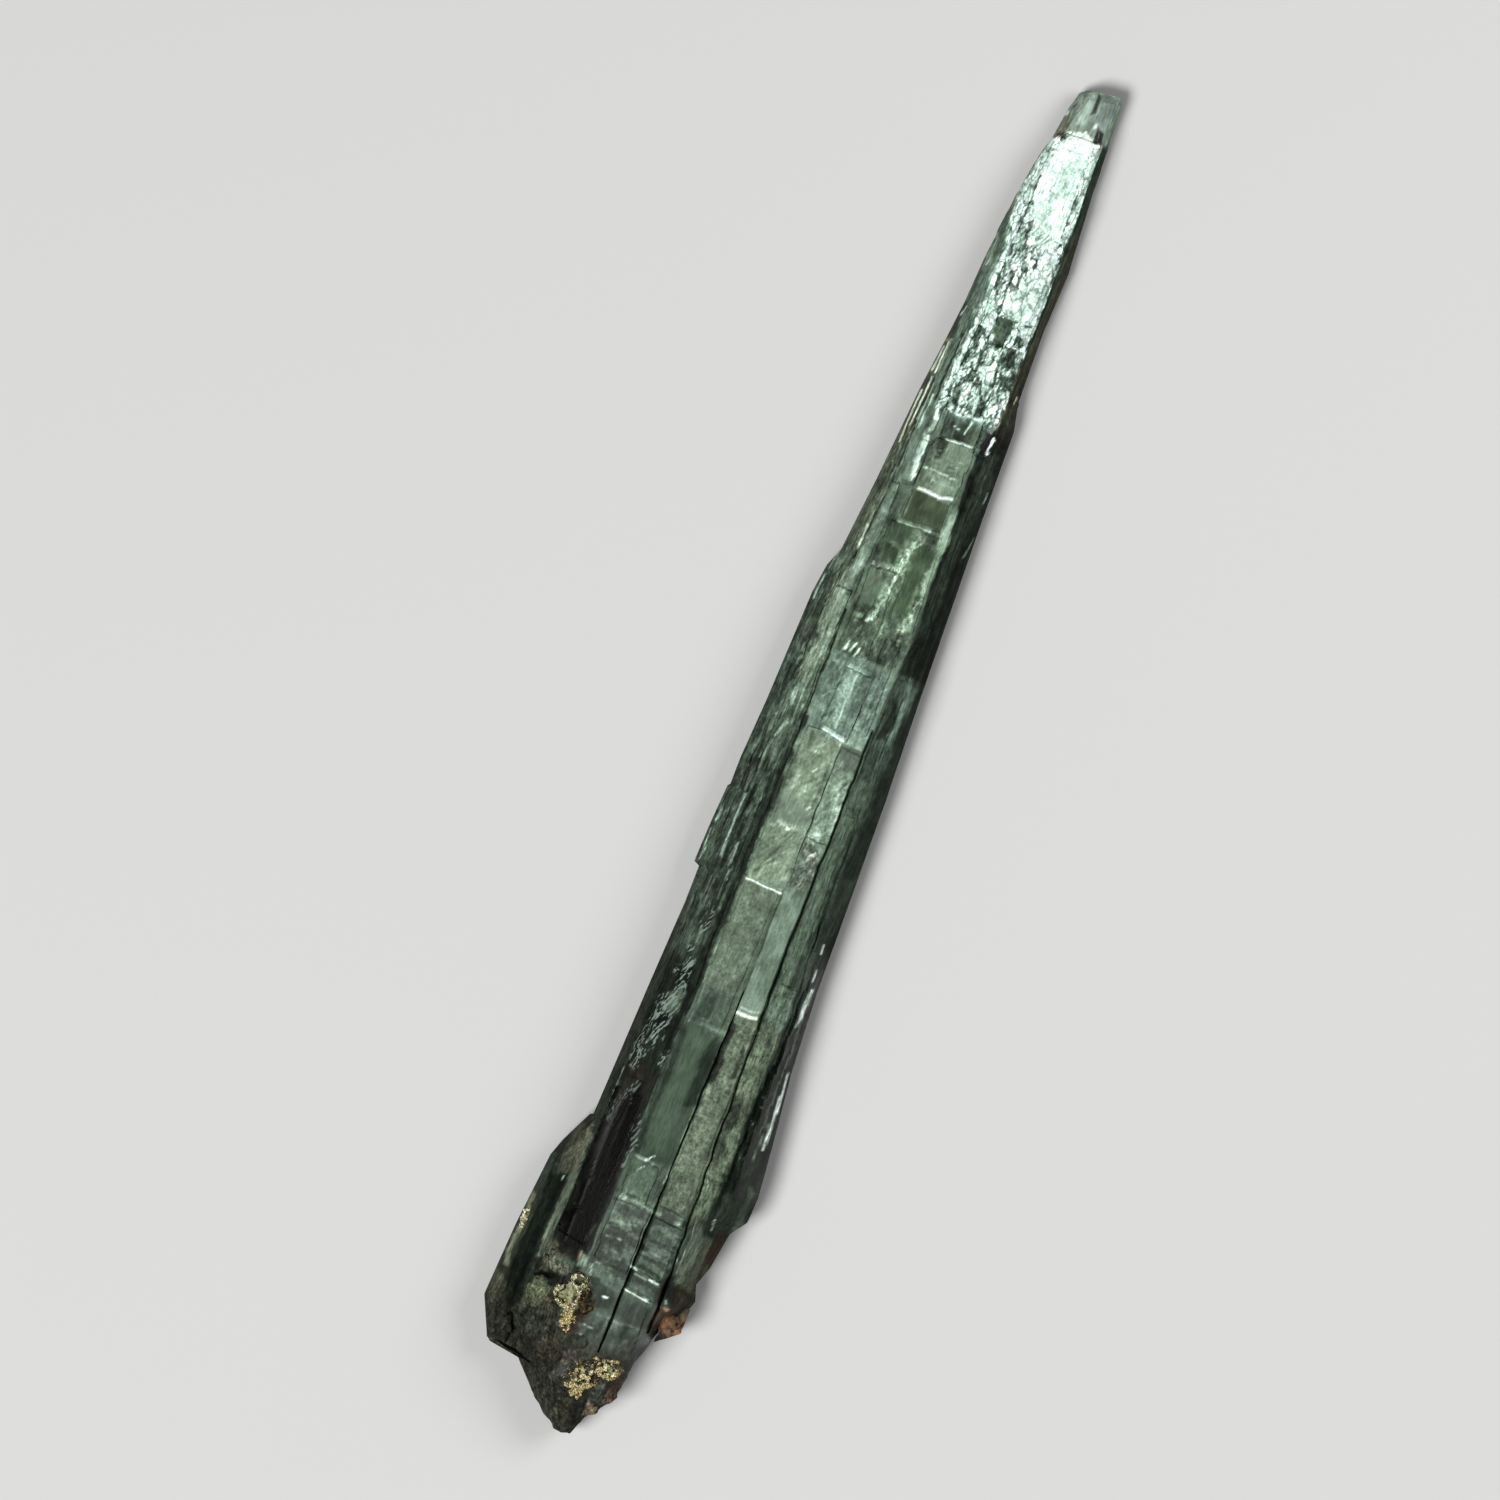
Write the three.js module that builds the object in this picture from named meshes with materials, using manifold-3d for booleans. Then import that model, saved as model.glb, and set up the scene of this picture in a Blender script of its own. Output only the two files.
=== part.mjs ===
// A vivianite specimen: one long, tapering, blade-like crystal with crusts of other minerals at its
// broken foot. It lies on its flat cleavage back. X runs across the blade, Y along it from the foot
// to the tip, and Z up out of the front face. Sizes are in millimetres.
import * as THREE from "three";
import { mergeVertices } from "three/addons/utils/BufferGeometryUtils.js";
import Module from "manifold-3d";

const wasm = await Module();
wasm.setup();

// ---- Driving dimensions ---------------------------------------------------------------------
const LENGTH = 140; // foot to tip

// Each line is a list of [y, value] with straight runs between, y measured up from the foot.
const LEFT_EDGE = [
  [0, -0.5], [2, -3.4], [5, -6.4], [9, -8.2], [29.5, -8.45], [43.5, -8.15], [52, -7.9], [67, -8.15],
  [73, -7.9], [84.5, -7.7], [87.4, -7.35], [89.2, -6.65], [97, -6.0], [106.5, -5.4], [111.5, -4.9],
  [116, -4.5], [121, -4.3], [128, -3.6], [132.4, -3.0], [133.6, -2.6], [137, -2.2], [139.2, -1.7],
  [LENGTH, -0.9],
];
const RIGHT_EDGE = [
  [0, 1.0], [2, 1.7], [4.2, 3.4], [5.8, 3.9], [8.8, 4.2], [10.4, 4.8], [13.8, 5.5], [15, 7.0],
  [16.4, 7.5], [18, 6.95], [20, 7.6], [23.8, 8.15], [25.4, 9.3], [28, 9.4], [34, 8.7], [40.5, 7.85],
  [48.5, 7.25], [58, 6.9], [68, 6.5], [77.5, 5.95], [97, 5.0], [106, 4.65], [108.8, 4.0], [116, 3.7],
  [122, 3.85], [130.5, 3.1], [135, 2.85], [139, 2.6], [LENGTH, 2.2],
];
const LEFT_RIDGE = [
  [0, -0.2], [5, -2.8], [10, -3.9], [58, -3.5], [75, -4.0], [92, -3.7], [104, -3.1], [116, -2.9],
  [128, -2.5], [134, -1.8], [LENGTH, -0.4],
];
const RIGHT_RIDGE = [
  [0, 0.6], [6, 2.6], [10, 3.6], [30, 3.6], [45, 3.2], [58, 2.9], [84, 3.1], [92, 2.4], [102, 2.0],
  [134, 2.0], [LENGTH, 1.9],
];
const FRONT_HEIGHT = [
  [0, 4.6], [3, 6.2], [8, 8.8], [12, 10.1], [24, 10.6], [50, 9.3], [75, 8.0], [100, 6.5], [120, 5.0],
  [134, 3.8], [139, 3.2], [LENGTH, 2.6],
];
const BACK_HEIGHT = [[0, 2.4], [3, 1.0], [6, 0], [136.5, 0], [LENGTH, 0.9]];

const BACK_BEVEL = 0.3; // share of the side facet's width that the back bevel takes
const GIRDLE = [0.24, 0.4]; // bottom and top of the narrow side face, as shares of the thickness
const SHOULDER = [0.42, 0.6]; // where the side facet bends, as shares of its width and its rise

// Growth ledges cross the blade at a slight slant, which changes along it: rise in Y for each mm of X.
const LEDGE_SLANT = [
  [0, -0.14], [30, -0.1], [45, 0.04], [58, -0.03], [72, -0.12], [90, 0.06], [LENGTH, 0.07],
];
const LEDGE_LEAN = 0.15; // how far a ledge's foot stands out from its top edge
const ROOT_DEPTH = 1.2; // how deep a layer is rooted in the crystal
const STATION_GAP = 0.25; // no two sections of a loft lie closer than this

// Layers standing on the front and the side facets: from and to along Y, their left and right
// edges at each end, and the height they stand up at each end.
const LAYERS = [
  // front face, from the foot up
  { from: 15.3, to: 17.6, left: [0.8, 0.8], right: [3.8, 3.8], rise: [0.22, 0.15] },
  { from: 17.6, to: 23, left: [0.8, 0.8], right: [3.7, 3.6], rise: [0.37, 0.19] },
  { from: 16.5, to: 23.4, left: [-3.3, -3.3], right: [0.2, 0.2], rise: [0.19, 0.22] },
  { from: 23.4, to: 27.2, left: [-3.2, -3.4], right: [-0.6, -0.6], rise: [0.37, 0.12] },
  { from: 24, to: 44, left: [0.8, 0.8], right: [3.5, 3.0], rise: [0.19, 0.12] },
  { from: 41.6, to: 56.4, left: [-3.3, -3.2], right: [-0.1, 0.1], rise: [0.19, 0.12] },
  { from: 44, to: 62.4, left: [0.7, 0.6], right: [3.0, 2.8], rise: [0.46, 0.25] },
  { from: 62.4, to: 71.6, left: [0.6, 0.6], right: [2.8, 2.6], rise: [0.46, 0.19] },
  { from: 56.4, to: 72.1, left: [-3.5, -3.2], right: [0.6, 0.5], rise: [0.43, 0.19] },
  { from: 72.1, to: 78.9, left: [-2.2, -1.9], right: [0.8, 0.7], rise: [0.59, 0.22] },
  { from: 73.5, to: 83, left: [0.9, 0.6], right: [2.3, 2.1], rise: [0.31, 0.15] },
  { from: 80, to: 89.2, left: [-3.4, -3.3], right: [-0.4, -0.6], rise: [0.28, 0.19] },
  { from: 84, to: 93.8, left: [0.2, 0.1], right: [2.7, 2.0], rise: [0.25, 0.12] },
  { from: 89.2, to: 93.9, left: [-3.5, -3.2], right: [0.1, 0.1], rise: [0.12, 0.22] },
  { from: 97.5, to: 103, left: [-2.4, -2.2], right: [1.7, 1.8], rise: [0.4, 0.22] },
  { from: 102.9, to: 108, left: [-1.8, -1.9], right: [1.6, 1.7], rise: [0.46, 0.25] },
  { from: 105.6, to: 134.8, left: [-2.3, -1.5], right: [2.3, 2.1], rise: [0.5, 0.34] },
  { from: 102.4, to: 112, left: [1.9, 1.6], right: [3.3, 2.9], rise: [0.56, 0.37] },
  { from: 110, to: 124.5, left: [0.9, 0.4], right: [2.8, 2.3], rise: [0.62, 0.5] },
  { from: 116.5, to: 133.4, left: [-2.0, -1.2], right: [0.8, 0.9], rise: [0.62, 0.46] },
  { from: 125, to: 134.4, left: [1.5, 1.5], right: [2.5, 2.35], rise: [0.56, 0.53] },
  { from: 127, to: 133.2, left: [-3.1, -2.5], right: [-1.9, -1.5], rise: [0.43, 0.37] },
  // left facet
  { from: 67.8, to: 86, left: [-5.7, -5.7], right: [-4.3, -4.3], rise: [0.19, 0.37] },
  { from: 58, to: 70, left: [-5.6, -5.5], right: [-4.8, -4.8], rise: [0.28, 0.12] },
  { from: 55.9, to: 64.2, left: [-6.6, -6.4], right: [-6.2, -6.0], rise: [0.28, 0.15] },
  { from: 44, to: 57, left: [-5.7, -5.5], right: [-4.9, -4.9], rise: [0.12, 0.25] },
  { from: 33.5, to: 55, left: [-7.9, -7.6], right: [-7.3, -7.1], rise: [0.22, 0.12] },
  { from: 12, to: 33, left: [-8.1, -8.2], right: [-7.7, -7.7], rise: [0.31, 0.22] },
  { from: 86.5, to: 97.5, left: [-4.9, -4.5], right: [-3.9, -3.7], rise: [0.19, 0.31] },
  { from: 97.5, to: 102.3, left: [-3.5, -3.3], right: [-2.5, -2.5], rise: [0.4, 0.22] },
  { from: 102.8, to: 121, left: [-3.3, -3.4], right: [-2.7, -2.4], rise: [0.37, 0.25] },
  { from: 88, to: 108, left: [-5.7, -5.0], right: [-5.2, -4.6], rise: [0.25, 0.19] },
  { from: 95, to: 113.5, left: [-5.0, -4.3], right: [-4.5, -3.8], rise: [0.31, 0.25] },
  { from: 109, to: 119.5, left: [-4.4, -4.1], right: [-3.7, -3.3], rise: [0.25, 0.19] },
  { from: 118, to: 130, left: [-3.9, -3.2], right: [-3.1, -2.6], rise: [0.28, 0.22] },
  // right facet
  { from: 12.6, to: 20, left: [4.4, 4.6], right: [5.2, 6.4], rise: [0.25, 0.19] },
  { from: 18, to: 28.5, left: [4.7, 4.6], right: [6.6, 6.2], rise: [0.22, 0.19] },
  { from: 28.5, to: 48, left: [4.0, 3.6], right: [5.8, 5.3], rise: [0.34, 0.25] },
  { from: 24.5, to: 37, left: [6.6, 6.3], right: [7.5, 7.0], rise: [0.19, 0.25] },
  { from: 34, to: 53, left: [6.5, 6.0], right: [7.3, 6.7], rise: [0.31, 0.19] },
  { from: 48, to: 66, left: [3.5, 3.3], right: [4.5, 4.3], rise: [0.19, 0.19] },
  { from: 52, to: 75, left: [4.9, 4.6], right: [5.9, 5.5], rise: [0.22, 0.15] },
  { from: 66.8, to: 79.9, left: [3.4, 3.05], right: [5.3, 5.1], rise: [0.12, 0.28] },
  { from: 82, to: 101, left: [4.3, 3.6], right: [5.0, 4.4], rise: [0.15, 0.19] },
  { from: 100, to: 108.6, left: [3.7, 3.5], right: [4.5, 4.1], rise: [0.22, 0.25] },
  { from: 113, to: 128, left: [3.1, 2.8], right: [3.5, 3.2], rise: [0.19, 0.19] },
];

// Smooth windows, where a layer has flaked off and left the crystal lower.
const WINDOWS = [
  { from: 17.2, to: 32.5, left: [-7.5, -7.4], right: [-4.6, -4.5], depth: 0.55 },
  { from: 94, to: 97.3, left: [-2.4, -2.4], right: [1.6, 1.6], depth: 0.3 },
  { from: 113, to: 116.2, left: [-1.2, -1.2], right: [0.6, 0.7], depth: 0.3 },
  { from: 113.4, to: 115.2, left: [1.3, 1.2], right: [2.2, 2.1], depth: 0.1 },
  { from: 34, to: 46, left: [-6.9, -6.8], right: [-4.7, -4.6], depth: 0.25 },
  { from: 83, to: 99, left: [3.3, 2.5], right: [4.2, 3.5], depth: 0.25 },
];

// Open cleavage cracks along the blade: their route in X, and the width and depth of the V.
const CRACKS = [
  { route: [[8.6, 0.55], [30, 0.5], [46, 0.6]], width: 0.2, depth: 0.7 },
  { route: [[12, 4.35], [19.5, 4.2], [29, 3.75], [39, 3.35], [50, 2.98], [74, 2.72]], width: 0.28, depth: 0.8 },
  { route: [[45, -3.9], [57, -4.15], [66, -3.9], [84, -4.08]], width: 0.24, depth: 0.3 },
  { route: [[64, -6.3], [76, -6.3], [87, -5.9], [99, -5.15]], width: 0.24, depth: 0.3 },
  { route: [[40, -7.0], [60, -7.2], [78, -6.9]], width: 0.24, depth: 0.3 },
  { route: [[26, 6.1], [40, 5.9], [55, 5.1], [66, 4.6]], width: 0.3, depth: 0.4 },
];

// Steps in the cleavage back, left where thin sheets have split away. The middle stays flat.
const BACK_STEPS = [
  { from: 40, to: 141, left: [-9, -9], right: [-4.4, -1.6], depth: 0.35 },
  { from: 74, to: 141, left: [-9, -9], right: [-4.9, -2.1], depth: 0.7 },
  { from: -1, to: 58, left: [4.4, 4.2], right: [10, 10], depth: 0.4 },
  { from: -1, to: 33, left: [6.0, 6.2], right: [10, 10], depth: 0.85 },
  { from: 62, to: 119, left: [4.0, 2.4], right: [7.5, 7.5], depth: 0.3 },
  { from: -1, to: 21, left: [-9, -9], right: [-4.6, -4.9], depth: 0.5 },
  { from: 22, to: 66, left: [-0.7, -0.5], right: [0.4, 0.3], depth: 0.3 },
];

// The side blade at the foot, grown into the main crystal's left edge: [y, left edge, ridge height].
const SIDE_BLADE = [
  [5.6, -9.9, 3.9], [9.5, -11.75, 5.2], [17, -11.45, 5.7], [24.4, -10.85, 5.4], [26.2, -10.25, 4.9],
  [29.6, -8.7, 4.3],
];
const SIDE_BLADE_VALLEY = -8.8; // where its inner facet meets the main crystal
const SIDE_BLADE_BASE = 0.9; // it stands clear of the surface below

// A thin sliver standing out of the left edge: [y, its outer edge].
const EDGE_SLIVER = [[55.8, -8.55], [59.5, -8.5], [64, -8.3]];
const EDGE_SLIVER_HEIGHT = [2.0, 3.3];

// Bites out of the broken foot and the right edge above it: centre and radius.
const FOOT_BITES = [
  { at: [-4.6, 0.4, 9.2], radius: 4.2 }, { at: [3.4, 0.2, 8.8], radius: 2.9 },
  { at: [-8.6, 2.8, 7.4], radius: 3.6 }, { at: [-0.8, 8.6, 11.9], radius: 2.6 },
  { at: [-5.8, 12.2, 9.9], radius: 2.2 }, { at: [-3.4, 12.6, 11.6], radius: 2.1 },
  { at: [-7.2, 14.4, 7.9], radius: 1.5 }, { at: [-11.4, 4.0, 4.6], radius: 2.2 },
  { at: [5.2, 7.6, 1.2], radius: 2.2 }, { at: [-3.2, 0.2, 1.4], radius: 2.3 },
  { at: [9.4, 22.4, 5.4], radius: 1.3 }, { at: [8.1, 18.2, 4.4], radius: 1.2 },
  { at: [-12.4, 14.2, 3.4], radius: 0.9 }, { at: [6.2, 11.0, 7.6], radius: 1.3 },
];
// Lumps and splinters of crystal left standing on the break.
const FOOT_LUMPS = [
  { at: [0.6, 1.9, 5.0], size: [0.65, 2.0, 0.8], turn: [0.1, 0.2, -0.12] },
  { at: [2.1, 3.2, 4.9], size: [0.7, 0.8, 0.7], turn: [0.5, 0.3, 0.4] },
  { at: [3.0, 5.0, 5.6], size: [1.0, 1.1, 0.9], turn: [0.2, 0.6, 0.1] },
  { at: [-6.9, 12.0, 7.4], size: [1.2, 1.8, 0.9], turn: [0.3, -0.5, 0.3] },
  { at: [-6.4, 15.2, 7.8], size: [1.1, 1.3, 0.7], turn: [0.1, -0.6, 0.2] },
  { at: [-4.2, 8.0, 7.6], size: [1.5, 1.0, 0.9], turn: [0.5, -0.4, 0.5] },
  { at: [-6.3, 9.0, 6.2], size: [1.5, 1.2, 0.9], turn: [0.6, -0.5, 0.2] },
  { at: [-2.6, 6.0, 6.9], size: [1.4, 1.1, 0.9], turn: [0.6, -0.3, 0.3] },
  { at: [-1.6, 8.9, 8.9], size: [1.1, 0.8, 0.7], turn: [0.6, -0.1, 0.2] },
  { at: [-8.9, 7.2, 3.8], size: [0.9, 1.7, 0.8], turn: [0.2, 0.1, 0.1] },
];

// Crusts: an oval patch of small crystals, its middle, half width, half length and turn.
const GOLDEN_PATCHES = [
  { name: "front", middle: [-3.4, 12.5], half: [1.5, 2.9], turn: 0.28, grains: 34, grain: 0.62, seed: 7 },
  { name: "foot", middle: [0.9, 6.1], half: [2.3, 1.8], turn: 0.5, grains: 34, grain: 0.6, seed: 19 },
  { name: "side_blade", middle: [-10.95, 17.8], half: [0.42, 1.2], turn: 0.05, grains: 9, grain: 0.45, seed: 31 },
];
const GOLDEN_ANGLE = 2.39996; // spreads the grains of a patch evenly
const CRUST_GAP = 0.3; // the crusts keep this clear of the crystal they grew on

const KNOB_MIDDLE = [6.2, 13.0, 4.9]; // the rusty knob on the right edge
const KNOB_LUMPS = [
  { at: [0, 0, 0], size: [1.3, 1.9, 1.7], turn: [0.2, 0.1, 0.3] },
  { at: [0.35, 0.9, -0.7], size: [1.0, 1.1, 1.2], turn: [0.5, 0.3, 0.1] },
  { at: [-0.3, -1.0, -0.5], size: [1.1, 1.1, 1.3], turn: [0.1, 0.7, 0.4] },
  { at: [0.2, -0.3, -1.8], size: [0.9, 1.4, 1.1], turn: [0.6, 0.2, 0.6] },
  { at: [-0.5, 0.5, 0.9], size: [0.9, 0.9, 0.9], turn: [0.3, 0.6, 0.2] },
];

// ---- Lines and shares -----------------------------------------------------------------------
const mix = (a, b, share) => a + (b - a) * share;

// The value of a [y, value] line at y.
function along(line, y) {
  if (y <= line[0][0]) return line[0][1];
  for (let i = 1; i < line.length; i++) {
    const [y0, v0] = line[i - 1];
    const [y1, v1] = line[i];
    if (y <= y1) return mix(v0, v1, (y - y0) / (y1 - y0));
  }
  return line[line.length - 1][1];
}

// Every y between two ends at which one of the lines turns, and the two ends.
function stations(lines, from, to) {
  const inner = lines.flat().map(([y]) => y).filter((y) => y > from + STATION_GAP && y < to - STATION_GAP);
  const spaced = [from];
  for (const y of inner.sort((a, b) => a - b)) {
    if (y - spaced[spaced.length - 1] > STATION_GAP) spaced.push(y);
  }
  return [...spaced, to];
}

// ---- Closed solids --------------------------------------------------------------------------
function solidOf(geometry) {
  const bare = geometry.index ? geometry.toNonIndexed() : geometry.clone();
  bare.deleteAttribute("normal");
  bare.deleteAttribute("uv");
  const merged = mergeVertices(bare, 1e-4);
  const mesh = new wasm.Mesh({
    numProp: 3,
    vertProperties: merged.attributes.position.array,
    triVerts: new Uint32Array(merged.index.array),
  });
  return new wasm.Manifold(mesh);
}

function geometryOf(solid) {
  const { vertProperties, triVerts } = solid.getMesh();
  const geometry = new THREE.BufferGeometry();
  geometry.setAttribute("position", new THREE.BufferAttribute(new Float32Array(vertProperties), 3));
  geometry.setIndex(new THREE.BufferAttribute(new Uint32Array(triVerts), 1));
  geometry.computeVertexNormals();
  return geometry;
}

// A closed skin through rings of [x, y, z] points. Each ring is listed up its left side, across the
// top and down its right side, and the rings run towards the tip.
function loft(rings) {
  const sides = rings[0].length;
  const faces = [];
  for (let ring = 0; ring + 1 < rings.length; ring++)
    for (let side = 0; side < sides; side++) {
      const a = ring * sides + side;
      const b = ring * sides + ((side + 1) % sides);
      faces.push(a, b, b + sides, a, b + sides, a + sides);
    }
  for (const ring of [0, rings.length - 1]) {
    const flat = rings[ring].map(([x, , z]) => new THREE.Vector2(x, z));
    for (const [i, j, k] of THREE.ShapeUtils.triangulateShape(flat, [])) {
      const turn = flat[j].clone().sub(flat[i]).cross(flat[k].clone().sub(flat[i]));
      const facesFoot = ring === 0;
      const [second, third] = turn > 0 === facesFoot ? [j, k] : [k, j];
      faces.push(ring * sides + i, ring * sides + second, ring * sides + third);
    }
  }
  const geometry = new THREE.BufferGeometry();
  geometry.setAttribute("position", new THREE.Float32BufferAttribute(rings.flat(2), 3));
  geometry.setIndex(faces);
  return solidOf(geometry);
}

// A faceted lump: an icosahedron stretched to its size and turned.
function lump({ at: [x, y, z], size, turn = [0, 0, 0] }) {
  const geometry = new THREE.IcosahedronGeometry(1, 0);
  geometry.scale(...size);
  geometry.applyMatrix4(new THREE.Matrix4().makeRotationFromEuler(new THREE.Euler(...turn)));
  return solidOf(geometry.translate(x, y, z));
}

// ---- The main crystal's own form ------------------------------------------------------------
const GUIDES = [LEFT_EDGE, RIGHT_EDGE, LEFT_RIDGE, RIGHT_RIDGE, FRONT_HEIGHT, BACK_HEIGHT];

// Its section at y, as [x, z] corners: flat back, left side, front face, right side.
function bodySection(y) {
  const [left, right, leftRidge, rightRidge, front, back] = GUIDES.map((line) => along(line, y));
  const [girdleLow, girdleHigh] = GIRDLE.map((share) => mix(back, front, share));
  const shoulder = mix(girdleHigh, front, SHOULDER[1]);
  return [
    [mix(left, leftRidge, BACK_BEVEL), back],
    [left, girdleLow],
    [left, girdleHigh],
    [mix(left, leftRidge, SHOULDER[0]), shoulder],
    [leftRidge, front],
    [rightRidge, front],
    [mix(right, rightRidge, SHOULDER[0]), shoulder],
    [right, girdleHigh],
    [right, girdleLow],
    [mix(right, rightRidge, BACK_BEVEL), back],
  ];
}
const UPPER_CORNERS = [2, 8]; // the section's corners from the left girdle to the right one

// The height of the crystal's upper side over a point of the surface below.
function bodyTop(x, y) {
  const upper = bodySection(y).slice(...UPPER_CORNERS);
  return along(upper, x);
}

// The X of the corners that lie between two places on the upper side.
function cornersBetween(left, right, y) {
  const room = 0.12;
  const corners = bodySection(y).slice(...UPPER_CORNERS).map(([x]) => x);
  return corners.filter((x) => x > left + room && x < right - room);
}

function mainCrystal() {
  return loft(stations(GUIDES, 0, LENGTH).map((y) => bodySection(y).map(([x, z]) => [x, y, z])));
}

// ---- Layers, windows, cracks and steps --------------------------------------------------------
// A sheet that follows the upper side between two heights above it, from end to end of a layer.
// Its ends follow the ledge slant, and `lean` sets its upper edge back from its lower one.
function sheet({ from, to, left, right }, above, below, lean) {
  const middle = (from + to) / 2;
  const bends = cornersBetween(mix(...left, 0.5), mix(...right, 0.5), middle).length;
  const rings = stations([FRONT_HEIGHT], from, to).map((y) => {
    const share = (y - from) / (to - from);
    const x0 = mix(...left, share);
    const x1 = mix(...right, share);
    const inner = cornersBetween(x0, x1, y);
    const between = (i) => inner[i] ?? mix(x0, x1, (i + 1) / (bends + 1));
    const xs = [x0, ...Array.from({ length: bends }, (_, i) => between(i)), x1].sort((a, b) => a - b);
    const slant = along(LEDGE_SLANT, y);
    const point = (x, height, shift) => {
      const spot = y + slant * x + shift;
      return [x, spot, Math.max(bodyTop(x, spot) + height, 0.2)];
    };
    const inset = share === 0 ? lean : share === 1 ? -lean : 0;
    const top = xs.map((x) => point(x, above(share), inset));
    const bottom = xs.map((x) => point(x, below, 0)).reverse();
    return [...top, ...bottom];
  });
  return loft(rings);
}

const CLEARANCE = 1.6; // how far a cutter stands out of the surface it cuts
const layer = (form) => sheet(form, (share) => mix(...form.rise, share), -ROOT_DEPTH, LEDGE_LEAN);
const smoothWindow = (form) => sheet(form, () => CLEARANCE, -form.depth, -LEDGE_LEAN);

function crack({ route, width, depth }) {
  const rings = stations([route, FRONT_HEIGHT], route[0][0], route[route.length - 1][0]).map((y) => {
    const x = along(route, y);
    const top = bodyTop(x, y);
    const open = top + CLEARANCE;
    const [left, right] = [x - width / 2, x + width / 2];
    return [[x, y, top - depth], [left, y, top], [left, y, open], [right, y, open], [right, y, top]];
  });
  return loft(rings);
}

function backStep({ from, to, left, right, depth }) {
  const under = -1;
  const ring = (y, share) => {
    const x0 = mix(...left, share);
    const x1 = mix(...right, share);
    return [[x0, y, under], [x0, y, depth], [x1, y, depth], [x1, y, under]];
  };
  return loft([ring(from, 0), ring(to, 1)]);
}

// ---- The side blade and the sliver -------------------------------------------------------------
function sideBlade() {
  const rooted = -6.6; // inside the main crystal
  const section = ([y, left, ridge]) => {
    const valley = Math.max(SIDE_BLADE_VALLEY, left + 1.0);
    const height = (share) => mix(SIDE_BLADE_BASE, ridge, share);
    return [
      [left + 0.6, y, height(0)],
      [left, y, height(0.35)],
      [left + 0.12, y, height(0.62)],
      [mix(left, valley, 0.42), y, ridge],
      [valley, y, height(0.7)],
      [rooted, y, height(0.72)],
      [rooted, y, height(0)],
    ];
  };
  return loft(SIDE_BLADE.map(section));
}

function edgeSliver() {
  const rooted = -7.2;
  const [low, high] = EDGE_SLIVER_HEIGHT;
  return loft(
    EDGE_SLIVER.map(([y, outer]) => [
      [rooted, y, low],
      [outer, y, mix(low, high, 0.4)],
      [outer, y, high],
      [rooted, y, high + 0.3],
    ]),
  );
}

function crystal() {
  let solid = mainCrystal().add(sideBlade()).add(edgeSliver());
  for (const form of LAYERS) solid = solid.add(layer(form));
  for (const form of WINDOWS) solid = solid.subtract(smoothWindow(form));
  for (const form of CRACKS) solid = solid.subtract(crack(form));
  for (const form of BACK_STEPS) solid = solid.subtract(backStep(form));
  FOOT_BITES.forEach(({ at, radius }, i) => {
    solid = solid.subtract(lump({ at, size: [radius, radius * 1.1, radius * 0.9], turn: [i, 2 * i, 3 * i] }));
  });
  for (const form of FOOT_LUMPS) solid = solid.add(lump(form));
  return solid;
}

// ---- Crusts on the foot --------------------------------------------------------------------------
// A repeatable run of numbers from 0 to 1.
function chance(seed) {
  let state = seed;
  return () => {
    state = (state * 16807) % 2147483647;
    return state / 2147483647;
  };
}

// How high the finished crystal stands at a place, found by a thin probe let down on it.
function surfaceAt(solid, x, y) {
  const probe = solidOf(new THREE.BoxGeometry(0.05, 0.05, 40).translate(x, y, 0));
  return solid.intersect(probe).boundingBox().max[2];
}

// A patch of fused octahedral grains, cut to keep its gap above the crystal.
function goldenCrust(host, { middle, half, turn, grains, grain, seed }) {
  const next = chance(seed);
  let crust = null;
  for (let i = 0; i < grains; i++) {
    const reach = Math.sqrt((i + 0.5) / grains);
    const angle = i * GOLDEN_ANGLE;
    const across = half[0] * reach * Math.cos(angle);
    const up = half[1] * reach * Math.sin(angle);
    const x = middle[0] + across * Math.cos(turn) - up * Math.sin(turn);
    const y = middle[1] + across * Math.sin(turn) + up * Math.cos(turn);
    const size = grain * mix(0.95, 1.35, next());
    const geometry = new THREE.OctahedronGeometry(size, 0);
    const tumbled = new THREE.Euler(next() * 3, next() * 3, next() * 3);
    geometry.applyMatrix4(new THREE.Matrix4().makeRotationFromEuler(tumbled));
    const sunk = 0.1 * size;
    const placed = solidOf(geometry.translate(x, y, surfaceAt(host, x, y) + CRUST_GAP - sunk));
    crust = crust ? crust.add(placed) : placed;
  }
  return clearOf(crust, host, [[0, 0, 1], [0, 0, 0]]);
}

// Cuts the host, moved out by the gap in each direction, out of a solid and keeps the largest body.
function clearOf(solid, host, directions) {
  let cut = solid;
  for (const direction of directions) cut = cut.subtract(host.translate(direction.map((d) => d * CRUST_GAP)));
  return cut.decompose().sort((a, b) => b.volume() - a.volume())[0];
}

function rustyKnob(host) {
  let knob = null;
  for (const { at, size, turn } of KNOB_LUMPS) {
    const placed = lump({ at: at.map((v, i) => v + KNOB_MIDDLE[i]), size, turn });
    knob = knob ? knob.add(placed) : placed;
  }
  return clearOf(knob, host, [[1, 0, 0], [0, 0, 0]]);
}

// ---- The specimen ----------------------------------------------------------------------------------
function stone(color, roughness, metalness) {
  return new THREE.MeshStandardMaterial({ color, roughness, metalness, flatShading: true });
}
const vivianite = stone(0x3f4f45, 0.3, 0);
const goldenDruse = stone(0x9a8350, 0.45, 0.3);
const rustyMatrix = stone(0x8a5f3c, 0.8, 0);


const host = crystal();
const specimen = new THREE.Group();

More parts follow.
